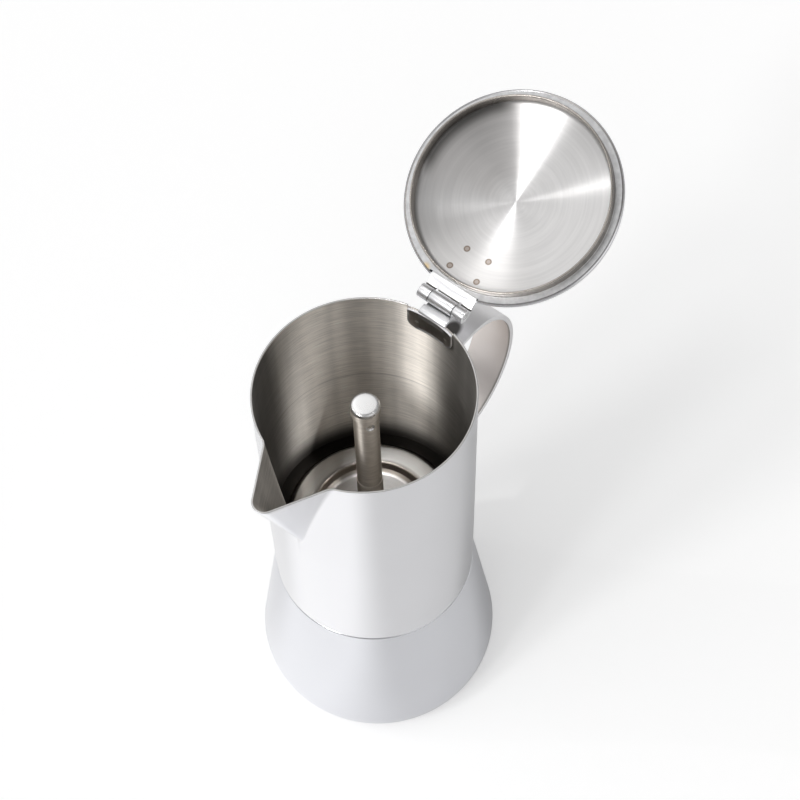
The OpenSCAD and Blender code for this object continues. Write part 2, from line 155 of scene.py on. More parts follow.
# turns a section of (r, z) points in millimetres about the vertical axis
def turned(name, section, steps=192):
    piece = drawLine(name, [(r * mm, 0, z * mm) for r, z in section])
    selectAll()
    bpy.ops.mesh.spin(steps=steps, angle=math.tau, center=(0, 0, 0), axis=(0, 0, 1))
    selectAll()
    bpy.ops.mesh.remove_doubles(threshold=mm / 1000)
    closeMesh()
    smooth(piece)
    return piece


def selectFaces(piece, wanted):
    bpy.ops.mesh.select_all(action="DESELECT")
    objectMode()
    for face in piece.data.polygons:
        face.select = wanted(face.center, face.normal)
    editMesh("FACE")


def selectEdges(piece, wanted):
    bpy.ops.mesh.select_all(action="DESELECT")
    objectMode()
    corners = piece.data.vertices
    for edge in piece.data.edges:
        ends = [corners[i].co for i in edge.vertices]
        edge.select = wanted(*ends)
    editMesh("EDGE")


def cutWith(piece, tool):
    applyModifier(piece, "BOOLEAN", operation="DIFFERENCE", solver="EXACT", object=tool)
    remove(tool)


def box(low, high, name="cutter"):
    deselectAll()
    centre = [(a + b) / 2 * mm for a, b in zip(low, high)]
    bpy.ops.mesh.primitive_cube_add(size=1, location=centre)
    piece = named(name)
    piece.scale = [(b - a) * mm for a, b in zip(low, high)]
    applyPlace()
    return piece


# a cylinder, its axis along Z unless turned
def peg(radius, length, at, turn=(0, 0, 0), sides=48, name="cutter"):
    deselectAll()
    bpy.ops.mesh.primitive_cylinder_add(vertices=sides, radius=radius * mm, depth=length * mm,
                                        location=[v * mm for v in at], rotation=turn)
    applyPlace()
    return named(name)


# a helical ridge of trapezoid section, closed at both ends
def makeThread(name, thread):
    root, crest, at, half = thread["root"], thread["crest"], thread["start"], thread["width"] / 2
    corners = [(root, at - half), (crest, at - half * 0.3), (crest, at + half * 0.3), (root, at + half)]
    piece = drawLine(name, [(r * mm, 0, z * mm) for r, z in corners])
    selectAll()
    bpy.ops.mesh.edge_face_add()
    bpy.ops.mesh.delete(type="ONLY_FACE")
    objectMode()
    applyModifier(piece, "SCREW", screw_offset=thread["pitch"] * mm, iterations=thread["turns"],
                  steps=96, render_steps=96)
    activate(piece)
    editMesh()
    selectAll()
    bpy.ops.mesh.fill_holes(sides=4)
    closeMesh()
    smooth(piece, 40)
    return piece


def join(name, *pieces):
    activate(pieces[0])
    for piece in pieces[1:]:
        piece.select_set(True)
    bpy.ops.object.join()
    return named(name)


def softEdges(piece, width, angle=50, segments=3):
    applyModifier(piece, "BEVEL", width=width * mm, segments=segments, limit_method="ANGLE",
                  angle_limit=math.radians(angle), use_clamp_overlap=True)
    smooth(piece, 40)


# draws the edges or the flat outline in hand out by a step, and leaves edit mode
def drawOut(step, filled=True):
    selectAll()
    if filled:
        bpy.ops.mesh.edge_face_add()
    bpy.ops.mesh.extrude_region_move(TRANSFORM_OT_translate={"value": step})
    closeMesh()


# jug: one pressed sheet with a pulled spout

jugLow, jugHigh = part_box("jug_body")
jug = {
    "radius": jugHigh.x / mm,
    "wall": 0.8,
    "foot": jugLow.z / mm,
    "rim": jugHigh.z / mm,
    "noseReach": -jugLow.x / mm,
    "noseRadius": 5.0,
    "cornerRadius": 2.0,
    "mouthHalf": 14.5,        # from the middle of the spout to the centre of a mouth corner
    "spoutDrop": 56.0,
    "lip": 1.0,
    "creaseRound": 1.3,
    "edge": 0.22,
    "notchAngle": 15.9,       # half of the rim that is lowered for the hinge
    "notchDeep": 1.2,
    "segments": 120,
}


# distance of the pulled spout from the axis, at an angle from the spout and a share of its height
def spoutDistance(angle, share):
    cornerRound, aside = jug["cornerRadius"], jug["mouthHalf"]
    wallRoot = jug["radius"] - cornerRound
    noseTop = jug["noseReach"] - jug["noseRadius"]
    cornerTop = math.sqrt(wallRoot ** 2 - aside ** 2)
    nose = wallRoot + (noseTop - wallRoot) * share
    noseRound = cornerRound + (jug["noseRadius"] - cornerRound) * share
    ahead = noseTop - cornerTop
    lean = math.acos((cornerRound - jug["noseRadius"]) / math.hypot(ahead, aside))
    facing = lean - math.atan2(aside, ahead)
    flat = nose * math.cos(facing) + noseRound
    away = abs(angle)
    noseEdge = math.atan2(noseRound * math.sin(facing), nose + noseRound * math.cos(facing))
    if away < noseEdge:
        return nose * math.cos(away) + math.sqrt(noseRound ** 2 - (nose * math.sin(away)) ** 2)
    corner = Vector((wallRoot + (cornerTop - wallRoot) * share, aside * share))
    tangent = corner + cornerRound * Vector((math.cos(facing), math.sin(facing)))
    if away < math.atan2(tangent.y, tangent.x):
        return flat / math.cos(away - facing)
    off = away - math.atan2(corner.y, corner.x)
    inside = cornerRound ** 2 - (corner.length * math.sin(off)) ** 2
    return corner.length * math.cos(off) + math.sqrt(inside) if inside > 0 and off < 1 else 0.0


def smoothMax(a, b, width):
    share = min(1.0, max(0.0, 0.5 + 0.5 * (a - b) / width))
    return b + (a - b) * share + width * share * (1 - share)


def makeJugWall():
    deselectAll()
    bpy.ops.mesh.primitive_circle_add(vertices=jug["segments"], radius=jug["radius"] * mm, location=(0, 0, 0))
    piece = named("jugWall")
    editMesh("EDGE")
    # finer towards the spout, in two steps
    for reach, cuts in ((34, 2), (26, 1)):
        limit = -math.cos(math.radians(reach)) * jug["radius"] * mm
        selectEdges(piece, lambda a, b: (a.x + b.x) / 2 < limit)
        bpy.ops.mesh.subdivide(number_cuts=cuts)
    selectAll()
    foot, notchTop = jug["foot"], jug["rim"] - jug["notchDeep"]
    bpy.ops.transform.translate(value=(0, 0, foot * mm))
    spoutFoot = jug["rim"] - jug["spoutDrop"]
    heights = [foot + 0.6, foot + 4] + [foot + 10 + 10 * i for i in range(6)]
    heights += [spoutFoot - 3 + i for i in range(int(jug["spoutDrop"] + 3 - jug["lip"]))]
    heights += [notchTop, jug["rim"]]
    last = foot
    for height in sorted(set(heights)):
        bpy.ops.mesh.extrude_region_move(TRANSFORM_OT_translate={"value": (0, 0, (height - last) * mm)})
        last = height
    objectMode()
    for vertex in piece.data.vertices:
        away = math.atan2(vertex.co.y, -vertex.co.x)
        share = (vertex.co.z / mm - spoutFoot) / (jug["spoutDrop"] - jug["lip"])
        distance = jug["radius"]
        if share > -0.1:
            pulled = spoutDistance(away, min(1.0, max(0.0, share)))
            distance = smoothMax(pulled, distance, jug["creaseRound"])
        vertex.co.x = -distance * mm * math.cos(away)
        vertex.co.y = distance * mm * math.sin(away)
    activate(piece)
    editMesh("FACE")
    notchSide = jug["radius"] * mm * math.cos(math.radians(jug["notchAngle"]))
    selectFaces(piece, lambda c, n: c.z > notchTop * mm and c.x > notchSide)
    bpy.ops.mesh.delete(type="FACE")
    closeMesh()
    applyModifier(piece, "SOLIDIFY", thickness=jug["wall"] * mm, offset=-1, use_even_offset=True)
    softEdges(piece, jug["edge"], 60)
    return piece


jugWall = makeJugWall()
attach(jugWall, "jug")
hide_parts("jug_body")
print("jug wall done:", len(jugWall.data.polygons), "faces")

# jug floor: a pressed disc with a raised ring

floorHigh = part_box("jug_floor")[1]
jugFloorSize = {
    "bore": 5.8,
    "edge": floorHigh.x / mm,
    "ringTop": floorHigh.z / mm,
    "trough": floorHigh.z / mm - 4.7,
    "plateau": floorHigh.z / mm - 2.35,
    "plateauEdge": 20.9,
    "ringFoot": 23.2,
    "ringFrom": 25.2,
    "ringTo": 33.6,
    "troughFrom": 36.2,
    "bend": 1.6,
    "sheet": 0.8,
}


def makeJugFloor():
    f = jugFloorSize
    top, trough, bend = f["ringTop"], f["trough"], f["bend"]
    upper = rounded([(f["bore"], f["plateau"]), (f["plateauEdge"], f["plateau"], 3),
                     (f["ringFoot"], top - bend, 0.6), (f["ringFrom"], top, bend), (f["ringTo"], top, bend),
                     (f["troughFrom"], trough, bend), (f["edge"], trough)])
    lower = [(r, z - f["sheet"]) for r, z in reversed(upper)]
    return turned("jugFloorPlate", upper + lower + [upper[0]])


jugFloorPlate = makeJugFloor()
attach(jugFloorPlate, "jug")
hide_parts("jug_floor")

# cap of the coffee column

capLow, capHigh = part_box("column_cap")
columnCap = {
    "radius": capHigh.x / mm,
    "top": capHigh.z / mm,
    "foot": capLow.z / mm,
    "sheet": 0.5,
    "edge": 1.7,
}


def makeColumnCap():
    c = columnCap
    r, top, foot, sheet = c["radius"], c["top"], c["foot"], c["sheet"]
    outer = rounded([(0, top), (r - 3.0, top), (r, top - 0.15, c["edge"]), (r, foot + 0.2, 0.15),
                     (r - 0.3, foot)], 8)
    inner = [(r - sheet, foot), (r - sheet, top - 2.2), (r - 2.2, top - sheet), (0, top - sheet)]
    return turned("columnCap", outer + inner, 96)


tubeLow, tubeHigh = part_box("column_tube")
columnTubeSize = {
    "radius": tubeHigh.x / mm - 0.3,
    "wall": 1.4,
    "low": tubeLow.z / mm,
    "high": tubeHigh.z / mm,
    "outletHole": 0.95,
    "dishRadius": 2.17,           # round dish pressed about an outlet, and its middle outside the tube
    "dishOut": 0.9,
    "outletDrop": 4.6,            # from the foot of the cap to the middle of an outlet
    "ways": (0, 120, 240),
    "joint": 0.25,
}


def makeColumnTube():
    c = columnTubeSize
    r = c["radius"]
    bore = r - c["wall"]
    section = [(bore, c["low"]), (r - c["joint"], c["low"]), (r, c["low"] + c["joint"]), (r, c["high"]),
               (bore, c["high"]), (bore, c["low"])]
    piece = turned("columnTube", section, 96)
    height = columnCap["foot"] - c["outletDrop"]
    for way in c["ways"]:
        turn = math.radians(way)
        outward, up = Vector((math.cos(turn), math.sin(turn), 0)), Vector((0, 0, height))
        cutWith(piece, peg(c["outletHole"], 2 * r, outward * r + up, (0, math.pi / 2, turn)))
        deselectAll()
        bpy.ops.mesh.primitive_uv_sphere_add(segments=32, ring_count=16, radius=c["dishRadius"] * mm,
                                             location=(outward * (r + c["dishOut"]) + up) * mm)
        cutWith(piece, named("cutter"))
    smooth(piece, 25)
    return piece


columnTube = makeColumnTube()
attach(columnTube, "jug")
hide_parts("column_tube")
columnTop = makeColumnCap()
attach(columnTop, "jug")
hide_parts("column_cap")

# boiler: a turned shell with the rounded foot

boilerLow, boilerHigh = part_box("boiler_shell")
boiler = {
    "radius": boilerHigh.x / mm,
    "foot": boilerLow.z / mm,
    "seam": jug["foot"] - 0.6,
    "neckTop": boilerHigh.z / mm,
    "neckRadius": 39.5,
    "wall": 1.0,
    "footRound": 15.0,
    "shoulderRound": 1.2,
    "valveAt": 58.0,
    "valveHole": 4.0,
    "groove": (89.0, 102.6, 39.0),
}
neckThread = {"root": 38.9, "crest": 39.5, "start": 90.6, "width": 2.0, "pitch": 3.2, "turns": 3}


# the plain groove that the threads lie in, cut into a wall of radius r
def grooveLine(r, low, top, root):
    return [(r, low - 0.4), (root, low), (root, top), (r, top + 0.4)]


def boilerLine(inset):
    b = boiler
    centre = (b["radius"] - b["footRound"], b["footRound"])
    away = Vector((jug["radius"] - centre[0], b["seam"] - centre[1]))
    lean = math.degrees(math.atan2(away.y, away.x) - math.acos(b["footRound"] / away.length))
    foot = b["foot"] + inset
    radius = b["footRound"] - inset
    low = -math.degrees(math.asin((centre[1] - foot) / radius))
    footArc = arc(centre, radius, low, lean, 24)
    normal = Vector((math.cos(math.radians(lean)), math.sin(math.radians(lean))))
    top = b["seam"] - inset
    onFlank = Vector(centre) + normal * radius
    run = (top - onFlank.y) / normal.x
    edge = (onFlank.x - run * normal.y, top, max(b["shoulderRound"] - inset, 0.2))
    neck = b["neckRadius"] - inset
    return footArc, edge, neck, (onFlank, normal)


def makeBoilerBody():
    outArc, outEdge, outNeck, (onFlank, normal) = boilerLine(0)
    inArc, inEdge, inNeck = boilerLine(boiler["wall"])[:3]
    top = boiler["neckTop"]
    outside = rounded([outArc[-1], outEdge, (outNeck, outEdge[1], 0.6),
                       *grooveLine(outNeck, *boiler["groove"]), (outNeck, top, 0.35), (inNeck, top)])
    inside = rounded([inArc[-1], inEdge, (inNeck, inEdge[1], 0.6), (inNeck, top)])
    section = [(0, boiler["foot"])] + outArc + outside[1:-1]
    section += list(reversed(inArc[:-1] + inside)) + [(0, boiler["foot"] + boiler["wall"])]
    piece = turned("boilerBody", section)
    # the safety valve passes square through the flank
    rise = (boiler["valveAt"] - onFlank.y) / normal.x
    at = (0, onFlank.x - rise * normal.y, boiler["valveAt"])
    cutWith(piece, peg(boiler["valveHole"], 20, at, (-math.acos(normal.y), 0, 0)))
    smooth(piece, 30)
    return join("boilerBody", piece, makeThread("neckThread", neckThread))


collarLow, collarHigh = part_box("jug_collar")
collar = {
    "out": collarHigh.x / mm,
    "in": 39.8,
    "low": collarLow.z / mm,
    "high": collarHigh.z / mm,
    "groove": (88.4, 102.2, 40.4),
}
collarThread = {"root": 40.5, "crest": 39.8, "start": 92.2, "width": 2.0, "pitch": 3.2, "turns": 3}


def makeCollar():
    c = collar
    section = rounded([(c["out"], c["low"]), (c["in"], c["low"], 0.3), *grooveLine(c["in"], *c["groove"]),
                       (c["in"], c["high"]), (c["out"], c["high"]), (c["out"], c["low"])])
    return join("screwCollar", turned("screwCollar", section), makeThread("collarThread", collarThread))


screwCollar = makeCollar()
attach(screwCollar, "jug")
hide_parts("jug_collar")
boilerBody = makeBoilerBody()
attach(boilerBody, "boiler")
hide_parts("boiler_shell")
print("boiler done:", len(boilerBody.data.polygons), "faces")

# lid: drawn closed, then opened about the hinge

lidHinge = next(j for j in frame["joints"] if j["name"] == "lid_hinge")
hingeAt = Vector(lidHinge["pos_m"])
lidOpen = math.radians(max(lidHinge["range_deg"]))
openLid = Matrix.Translation(hingeAt) @ Matrix.Rotation(lidOpen, 4, "Y") @ Matrix.Translation(-hingeAt)
lid = {
    "radius": 42.9,
    "foot": jug["rim"] + 0.2,
    "skirtTop": jug["rim"] + 2.4,
    "top": jug["rim"] + 10,
    "sheet": 0.8,
    "pan": 0.6,
    "leafSpace": 1.4,
    "plug": 39.4,
    "plugDeep": 4.0,
    "hem": 1.0,
    "bend": 1.6,
    "notchHalf": 11.5,
}


def domeHeight(r, below=0.0):
    rise = lid["top"] - lid["skirtTop"]
    ball = (lid["radius"] ** 2 + rise ** 2) / (2 * rise)
    return lid["top"] - below - ball + math.sqrt(ball ** 2 - r ** 2)


def domeLine(start, end, below, steps=28):
    radii = [start + (end - start) * i / steps for i in range(steps + 1)]
    return [(r, domeHeight(r, below)) for r in radii]


def opened(piece):
    piece.matrix_world = openLid
    activate(piece)
    applyPlace()
    return piece


def lidNotch(inner):
    return box((inner, -lid["notchHalf"], lid["foot"] - 1),
               (60, lid["notchHalf"], domeHeight(lid["radius"], lid["sheet"])))


def makeLidShell():
    r, sheet, foot = lid["radius"], lid["sheet"], lid["foot"]
    edge = (r, lid["skirtTop"] + 0.1, 0.9)
    outer = rounded([(r, foot + 0.25), edge, (r - 2.5, domeHeight(r - 2.5))])
    section = [(r - sheet, foot + 0.2), (r - 0.4, foot)] + outer
    section += reversed(domeLine(0, r - 3.4, 0))
    section += domeLine(0, r - sheet, sheet) + [(r - sheet, foot + 0.2)]
    piece = turned("lidShell", section)
    cutWith(piece, lidNotch(lid["plug"] + lid["hem"] / 2))
    smooth(piece, 35)
    return opened(piece)


def makeLidPan():
    sheet, below = lid["pan"], lid["sheet"] + lid["leafSpace"] + lid["pan"]
    plug, low = lid["plug"], jug["rim"] - lid["plugDeep"]
    inner = plug - lid["hem"]
    foot, flange = lid["foot"], lid["radius"] - lid["sheet"] - 0.1
    bendTop = inner - lid["bend"]
    wall = rounded([(flange, foot), (plug, foot, 0.35), (plug, low)])
    hem = arc((plug - lid["hem"] / 2, low), lid["hem"] / 2, 0, -180, 8)
    rise = rounded([(inner, low), (inner, domeHeight(inner, below), lid["bend"]),
                    (bendTop - 1, domeHeight(bendTop - 1, below))], 10)
    section = wall[:-1] + hem + rise[1:]
    section += reversed(domeLine(0, bendTop - 2, below))
    section += domeLine(0, inner - 1.5, below - sheet)
    high = foot + sheet
    section += [(plug, high + 0.6), (plug + 0.6, high), (flange, high), (flange, foot)]
    piece = turned("lidPan", section)
    cutWith(piece, lidNotch(lid["plug"] + lid["hem"] / 2))
    smooth(piece, 35)
    return opened(piece)


lidShell = makeLidShell()
lidPan = makeLidPan()
for piece, node, slotName in ((lidShell, "lid_shell", "polished_steel"), (lidPan, "lid_pan", "turned_steel")):
    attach(piece, "lid")
    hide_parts(node)
print("lid done")

# hinge: a leaf under the lid, a bracket in the jug, and the knuckles they roll into

hinge = {
    "axis": (hingeAt.x / mm, hingeAt.z / mm),
    "barrel": 2.8,
    "pin": 1.2,
    "middle": 11.0,
    "gap": 0.3,
    "ear": 4.8,
    "sheet": 1.0,
    "leafIn": 22.0,
    "leafHalf": 10.6,
    "leafEnd": 40.2,
    "leafBelow": 2.15,
    "leafBend": 1.6,
    "forkAt": 45.15,
    "foldAt": 45.0,
    "relief": 0.7,                # round relief in the corners of the fork
    "plateHalf": 10.5,
    "plateDrop": 12.2,
    "plateCorner": 4.5,
    "plateBorder": 0.75,
    "platePress": 0.4,
    "stripHalf": 6.3,
    "play": 0.1,                  # between the pin and the sheet rolled over it
    "plateSoft": 0.16,
    "sheetSoft": 0.25,
    "pinSoft": 0.3,
}


# a flat section in the XZ plane, drawn out along Y
def drawnAlongY(name, section, low, high):
    piece = drawLine(name, [(x * mm, low * mm, z * mm) for x, z in section])
    drawOut((0, (high - low) * mm, 0))
    return piece


def makeBracket():
    h = hinge
    x, z = h["axis"]
    top = jug["rim"] - jug["notchDeep"] + h["sheet"]
    inner = jug["radius"] - jug["wall"]
    back, low, high = inner - h["sheet"], top - h["plateDrop"], top - h["sheet"]
    ring = turned("bracketPlate", [(back, low), (inner, low), (inner, high), (back, high), (back, low)], 256)
    high = top + 2
    outline = rounded([(-h["plateHalf"], high), (-h["plateHalf"], low, h["plateCorner"]),
                       (h["plateHalf"], low, h["plateCorner"]), (h["plateHalf"], high)], 10)
    face = drawLine("bracketFace", [(20 * mm, y * mm, v * mm) for y, v in outline])
    drawOut((40 * mm, 0, 0))
    applyModifier(ring, "BOOLEAN", operation="INTERSECT", solver="EXACT", object=face)
    remove(face)
    # the middle of its face is pressed in, which leaves a raised border
    activate(ring)
    editMesh("FACE")
    selectFaces(ring, lambda c, n: n.x * c.x + n.y * c.y < -0.7 * math.hypot(c.x, c.y))
    bpy.ops.mesh.inset(thickness=h["plateBorder"] * mm, depth=-h["platePress"] * mm, use_even_offset=True)
    objectMode()
    softEdges(ring, h["plateSoft"])
    # the strip folds over the lowered rim and rolls into the middle knuckle
    under = z - h["barrel"]
    back -= 0.05
    over = rounded([(back, top - 4), (back, top + 0.35, 2.1), (x - 1.0, top + 0.05)], 10)
    below = rounded([(inner + 0.05, top - 4), (inner + 0.05, under, 0.5), (x, under)], 8)
    roll = arc((x, z), h["barrel"], -90, 200, 48)[1:] + arc((x, z), h["pin"] + h["play"], 200, -70, 48)
    strip = drawnAlongY("bracketStrip", below + roll + list(reversed(over)), -h["stripHalf"], h["stripHalf"])
    for side in (-1, 1):
        near, far = h["middle"] / 2, h["stripHalf"] + 1
        low, high = sorted((side * near, side * far))
        cutWith(strip, box((x - h["barrel"] - 0.6, low, z - 6), (x + 6, high, z + 6)))
    softEdges(strip, h["sheetSoft"])
    return join("jugBracket", ring, strip)


def makeLeaf():
    h = hinge
    x, z = h["axis"]
    # the sheet lies under the dome, bends up behind the plug and rolls over the pin
    radii = [h["leafIn"] + (h["leafEnd"] - h["leafIn"]) * i / 12 for i in range(12)]
    below = h["leafBelow"]
    under = [(r, domeHeight(r, below)) for r in radii]
    over = [(r, z + h["sheet"]) for r, z in under]
    ends = []
    for line, reach in ((under, h["barrel"] - h["sheet"]), (over, h["barrel"])):
        foot = Vector((h["leafEnd"], domeHeight(h["leafEnd"], below) + reach - h["barrel"] + h["sheet"]))
        away = Vector((x, z)) - foot
        climb = math.atan2(away.y, away.x) + math.asin(reach / away.length)
        ends.append(math.degrees(climb) + 90)
        line.append((*foot, h["leafBend"]))
        line.append((x - reach * math.sin(climb), z + reach * math.cos(climb)))
    under, over = rounded(under, 6), rounded(over, 6)
    inside = arc((x, z), h["pin"] + h["play"], 140, -168, 44)
    outside = arc((x, z), h["barrel"], -168, ends[1], 44)
    section = under + inside + outside[:-1] + list(reversed(over))
    piece = drawnAlongY("lidLeafPlate", section, -h["leafHalf"], h["leafHalf"])
    fork = h["middle"] / 2 + h["gap"]
    cutWith(piece, box((h["forkAt"], -fork, z - 8), (x + 8, fork, z + 8)))
    for side in (-1, 1):
        cutWith(piece, peg(h["relief"], 20, (h["forkAt"], side * (fork - h["relief"] * 0.5), z)))
    softEdges(piece, h["sheetSoft"])
    return opened(piece)


def makePin():
    x, z = hinge["axis"]
    half = hinge["middle"] / 2 + hinge["gap"] + hinge["ear"] + 0.2
    piece = peg(hinge["pin"], 2 * half, (x, 0, z), (math.pi / 2, 0, 0), name="hingeWire")
    softEdges(piece, hinge["pinSoft"])
    return piece


jugBracket = makeBracket()
lidLeaf = makeLeaf()
hingeWire = makePin()
for piece, node, bodyName, slotName in ((jugBracket, "hinge_bracket", "jug", "hinge_steel"),
                                        (lidLeaf, "lid_leaf", "lid", "hinge_steel"),
                                        (hingeWire, "hinge_pin", "jug", "pin_steel")):
    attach(piece, bodyName)
    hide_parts(node)
print("hinge done")

# handle: a loop bent from flat band

handle = {
    "width": 18.0,
    "band": 2.2,
    "out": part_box("handle_band")[1].x / mm,
    "top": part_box("handle_band")[1].z / mm,
    "low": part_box("handle_band")[0].z / mm,
    "arm": 9.0,
    "rootSet": 0.5,
    "edge": 0.45,
}


# half an oval between two short arms that end inside the jug wall
def handleLine():
    h = handle
    middle, half = (h["top"] + h["low"]) / 2, (h["top"] - h["low"]) / 2
    start = jug["radius"] + h["arm"]
    inside, outside, root = jug["radius"] - 4, jug["radius"] + 1, half - h["rootSet"]
    line = [(inside, middle + root), (outside, middle + root)]
    for i in range(49):
        turn = math.radians(90 - 180 * i / 48)
        line.append((start + (h["out"] - start) * math.cos(turn), middle + half * math.sin(turn)))
    return line + [(outside, middle - root), (inside, middle - root)]


def makeHandle():
    line = handleLine()
    piece = drawLine("handleLoop", [(x * mm, -handle["width"] / 2 * mm, z * mm) for x, z in line])
    drawOut((0, handle["width"] * mm, 0), filled=False)
    outward = sum(face.normal.x for face in piece.data.polygons)
    applyModifier(piece, "SOLIDIFY", thickness=handle["band"] * mm, offset=-1 if outward > 0 else 1)
    softEdges(piece, handle["edge"], 60, 4)
    # what lies inside the jug wall is cut away
    cutWith(piece, peg(jug["radius"] - 0.25, 400, (0, 0, 150), sides=256))
    smooth(piece, 40)
    return piece


handleLoop = makeHandle()
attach(handleLoop, "jug")
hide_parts("handle_band")
print("handle done")

# steel finishes

def link(tree, source, target):
    tree.links.new(source, target)


def addNode(tree, kind, **settings):
    node = tree.nodes.new(kind)
    for key, value in settings.items():
        setattr(node, key, value)
    return node


def feed(tree, socket, value):
    if isinstance(value, (int, float)):
        socket.default_value = value
    elif isinstance(value, (tuple, list, Vector)):
        socket.default_value = tuple(value) + ((1,) if socket.type == "RGBA" and len(value) == 3 else ())
    elif value is not None:
        link(tree, value, socket)


def calc(tree, operation, a, b=None, c=None):
    node = addNode(tree, "ShaderNodeMath", operation=operation)
    for slot, value in enumerate((a, b, c)):
        feed(tree, node.inputs[slot], value)
    return node.outputs[0]


def times(tree, a, b):
    return calc(tree, "MULTIPLY", a, b)


def vectorCalc(tree, operation, a, b=None):
    node = addNode(tree, "ShaderNodeVectorMath", operation=operation)
    for slot, value in enumerate((a, b)):
        feed(tree, node.inputs[slot], value)
    return node.outputs["Value"] if operation in ("LENGTH", "DOT_PRODUCT") else node.outputs["Vector"]


def blend(tree, factor, a, b, kind="MIX"):
    node = addNode(tree, "ShaderNodeMix", data_type="RGBA", blend_type=kind)
    feed(tree, node.inputs["Factor"], factor)
    feed(tree, node.inputs["A"], a)
    feed(tree, node.inputs["B"], b)
    return node.outputs["Result"]


def ramp(tree, value, low, high, toLow=0.0, toHigh=1.0):
    node = addNode(tree, "ShaderNodeMapRange", interpolation_type="SMOOTHSTEP")
    names = ("Value", "From Min", "From Max", "To Min", "To Max")
    for name, number in zip(names, (value, low, high, toLow, toHigh)):
        feed(tree, node.inputs[name], number)
    return node.outputs["Result"]


def noise(tree, place, scale, stretch=(1, 1, 1), detail=2.0):
    mapping = addNode(tree, "ShaderNodeMapping")
    feed(tree, mapping.inputs["Vector"], place)
    mapping.inputs["Scale"].default_value = stretch
    node = addNode(tree, "ShaderNodeTexNoise")
    link(tree, mapping.outputs[0], node.inputs["Vector"])
    node.inputs["Scale"].default_value = scale
    node.inputs["Detail"].default_value = detail
    return node.outputs[0]


# a ramp between two lengths in millimetres
def rampMm(tree, value, low, high, toLow=0.0, toHigh=1.0):
    return ramp(tree, value, low * mm, high * mm, toLow, toHigh)


# the middle of a noise, stretched over a range
def spread(tree, value, toLow=0.0, toHigh=1.0):
    return ramp(tree, value, 0.3, 0.7, toLow, toHigh)


def split(tree, vector):
    node = addNode(tree, "ShaderNodeSeparateXYZ")
    link(tree, vector, node.inputs[0])
    return node.outputs


# one value in all three slots of a vector or a colour
def threefold(tree, value, kind="XYZ"):
    node = addNode(tree, "ShaderNodeCombine" + kind)
    for slot in range(3):
        link(tree, value, node.inputs[slot])
    return node.outputs[0]


# a place with its Y folded onto one side and one other axis kept
def foldY(tree, parts, keep):
    node = addNode(tree, "ShaderNodeCombineXYZ")
    link(tree, parts[keep], node.inputs[keep])
    link(tree, calc(tree, "ABSOLUTE", parts["Y"]), node.inputs["Y"])
    return node.outputs[0]


# distance from a point given in millimetres
def awayFrom(tree, place, at):
    return vectorCalc(tree, "LENGTH", vectorCalc(tree, "SUBTRACT", place, tuple(v * mm for v in at)))


# a place laid flat, and its distance from the Z axis
def flatPlace(tree, place):
    flat = vectorCalc(tree, "MULTIPLY", place, (1, 1, 0))
    return flat, vectorCalc(tree, "LENGTH", flat)


# share of a sector about the Z axis: its middle, inner and outer angle, and the radii where it comes in
def sector(tree, place, middle, inner, outer, near, far):
    flat, radius = flatPlace(tree, place)
    middle, inner, outer = (math.radians(angle) for angle in (middle, inner, outer))
    toward = (math.cos(middle), math.sin(middle), 0)
    side = vectorCalc(tree, "DOT_PRODUCT", vectorCalc(tree, "NORMALIZE", flat), toward)
    share = ramp(tree, side, math.cos(outer), math.cos(inner))
    return times(tree, share, rampMm(tree, radius, near, far))


# two tones in soft clouds, and the noise that mixes them
def clouds(tree, place, size, dark, light, stretch=(1, 1, 1), detail=3.0):
    patch = noise(tree, place, size, stretch, detail)
    return blend(tree, spread(tree, patch), dark, light), patch


def paint(tree, shader, tone, rough=None):
    link(tree, tone, shader.inputs["Base Color"])
    if rough is not None:
        link(tree, rough, shader.inputs["Roughness"])


def newGroup(name, inputs, outputs):
    tree = bpy.data.node_groups.new(name, "ShaderNodeTree")
    for label, kind in inputs:
        tree.interface.new_socket(name=label, in_out="INPUT", socket_type=kind)
    for label, kind in outputs:
        tree.interface.new_socket(name=label, in_out="OUTPUT", socket_type=kind)
    return tree, tree.nodes.new("NodeGroupInput"), tree.nodes.new("NodeGroupOutput")


# two noises, one fine and one broad, in the shares given
def twoNoises(tree, fine, broad, share):
    return calc(tree, "ADD", times(tree, fine, share), times(tree, broad, 1 - share))


# fine lines that run round the Z axis of the coordinates it is given
def makeBrushLines():
    tree, start, end = newGroup("brushLines", [("Vector", "NodeSocketVector")],
                                [("Shade", "NodeSocketFloat"), ("Rough", "NodeSocketFloat")])
    place = start.outputs["Vector"]
    fine = noise(tree, place, 1.0, (130, 130, 3400), 3.0)
    broad = noise(tree, place, 1.0, (60, 60, 1300), 2.0)
    cloud = noise(tree, place, 26.0, (1, 1, 1), 2.0)
    link(tree, spread(tree, twoNoises(tree, fine, broad, 0.6), 0.84, 1.14), end.inputs["Shade"])
    link(tree, spread(tree, cloud, -0.03, 0.03), end.inputs["Rough"])
    return tree


# rings left by turning, round the Z axis of the coordinates it is given
def makeTurnedLines():
    tree, start, end = newGroup("turnedLines", [("Vector", "NodeSocketVector")],
                                [("Shade", "NodeSocketFloat"), ("Height", "NodeSocketFloat")])
    flat, radius = flatPlace(tree, start.outputs["Vector"])
    way = vectorCalc(tree, "SCALE", vectorCalc(tree, "NORMALIZE", flat))
    way.node.inputs["Scale"].default_value = 0.9
    up = addNode(tree, "ShaderNodeCombineXYZ")
    link(tree, times(tree, radius, 900.0), up.inputs["Z"])
    at = vectorCalc(tree, "ADD", way, up.outputs[0])
    fine = noise(tree, at, 1.0, (1, 1, 1), 4.0)
    broad = noise(tree, at, 1.0, (1, 1, 0.22), 2.0)
    link(tree, spread(tree, twoNoises(tree, fine, broad, 0.55), 0.92, 1.08), end.inputs["Shade"])
    link(tree, fine, end.inputs["Height"])
    return tree


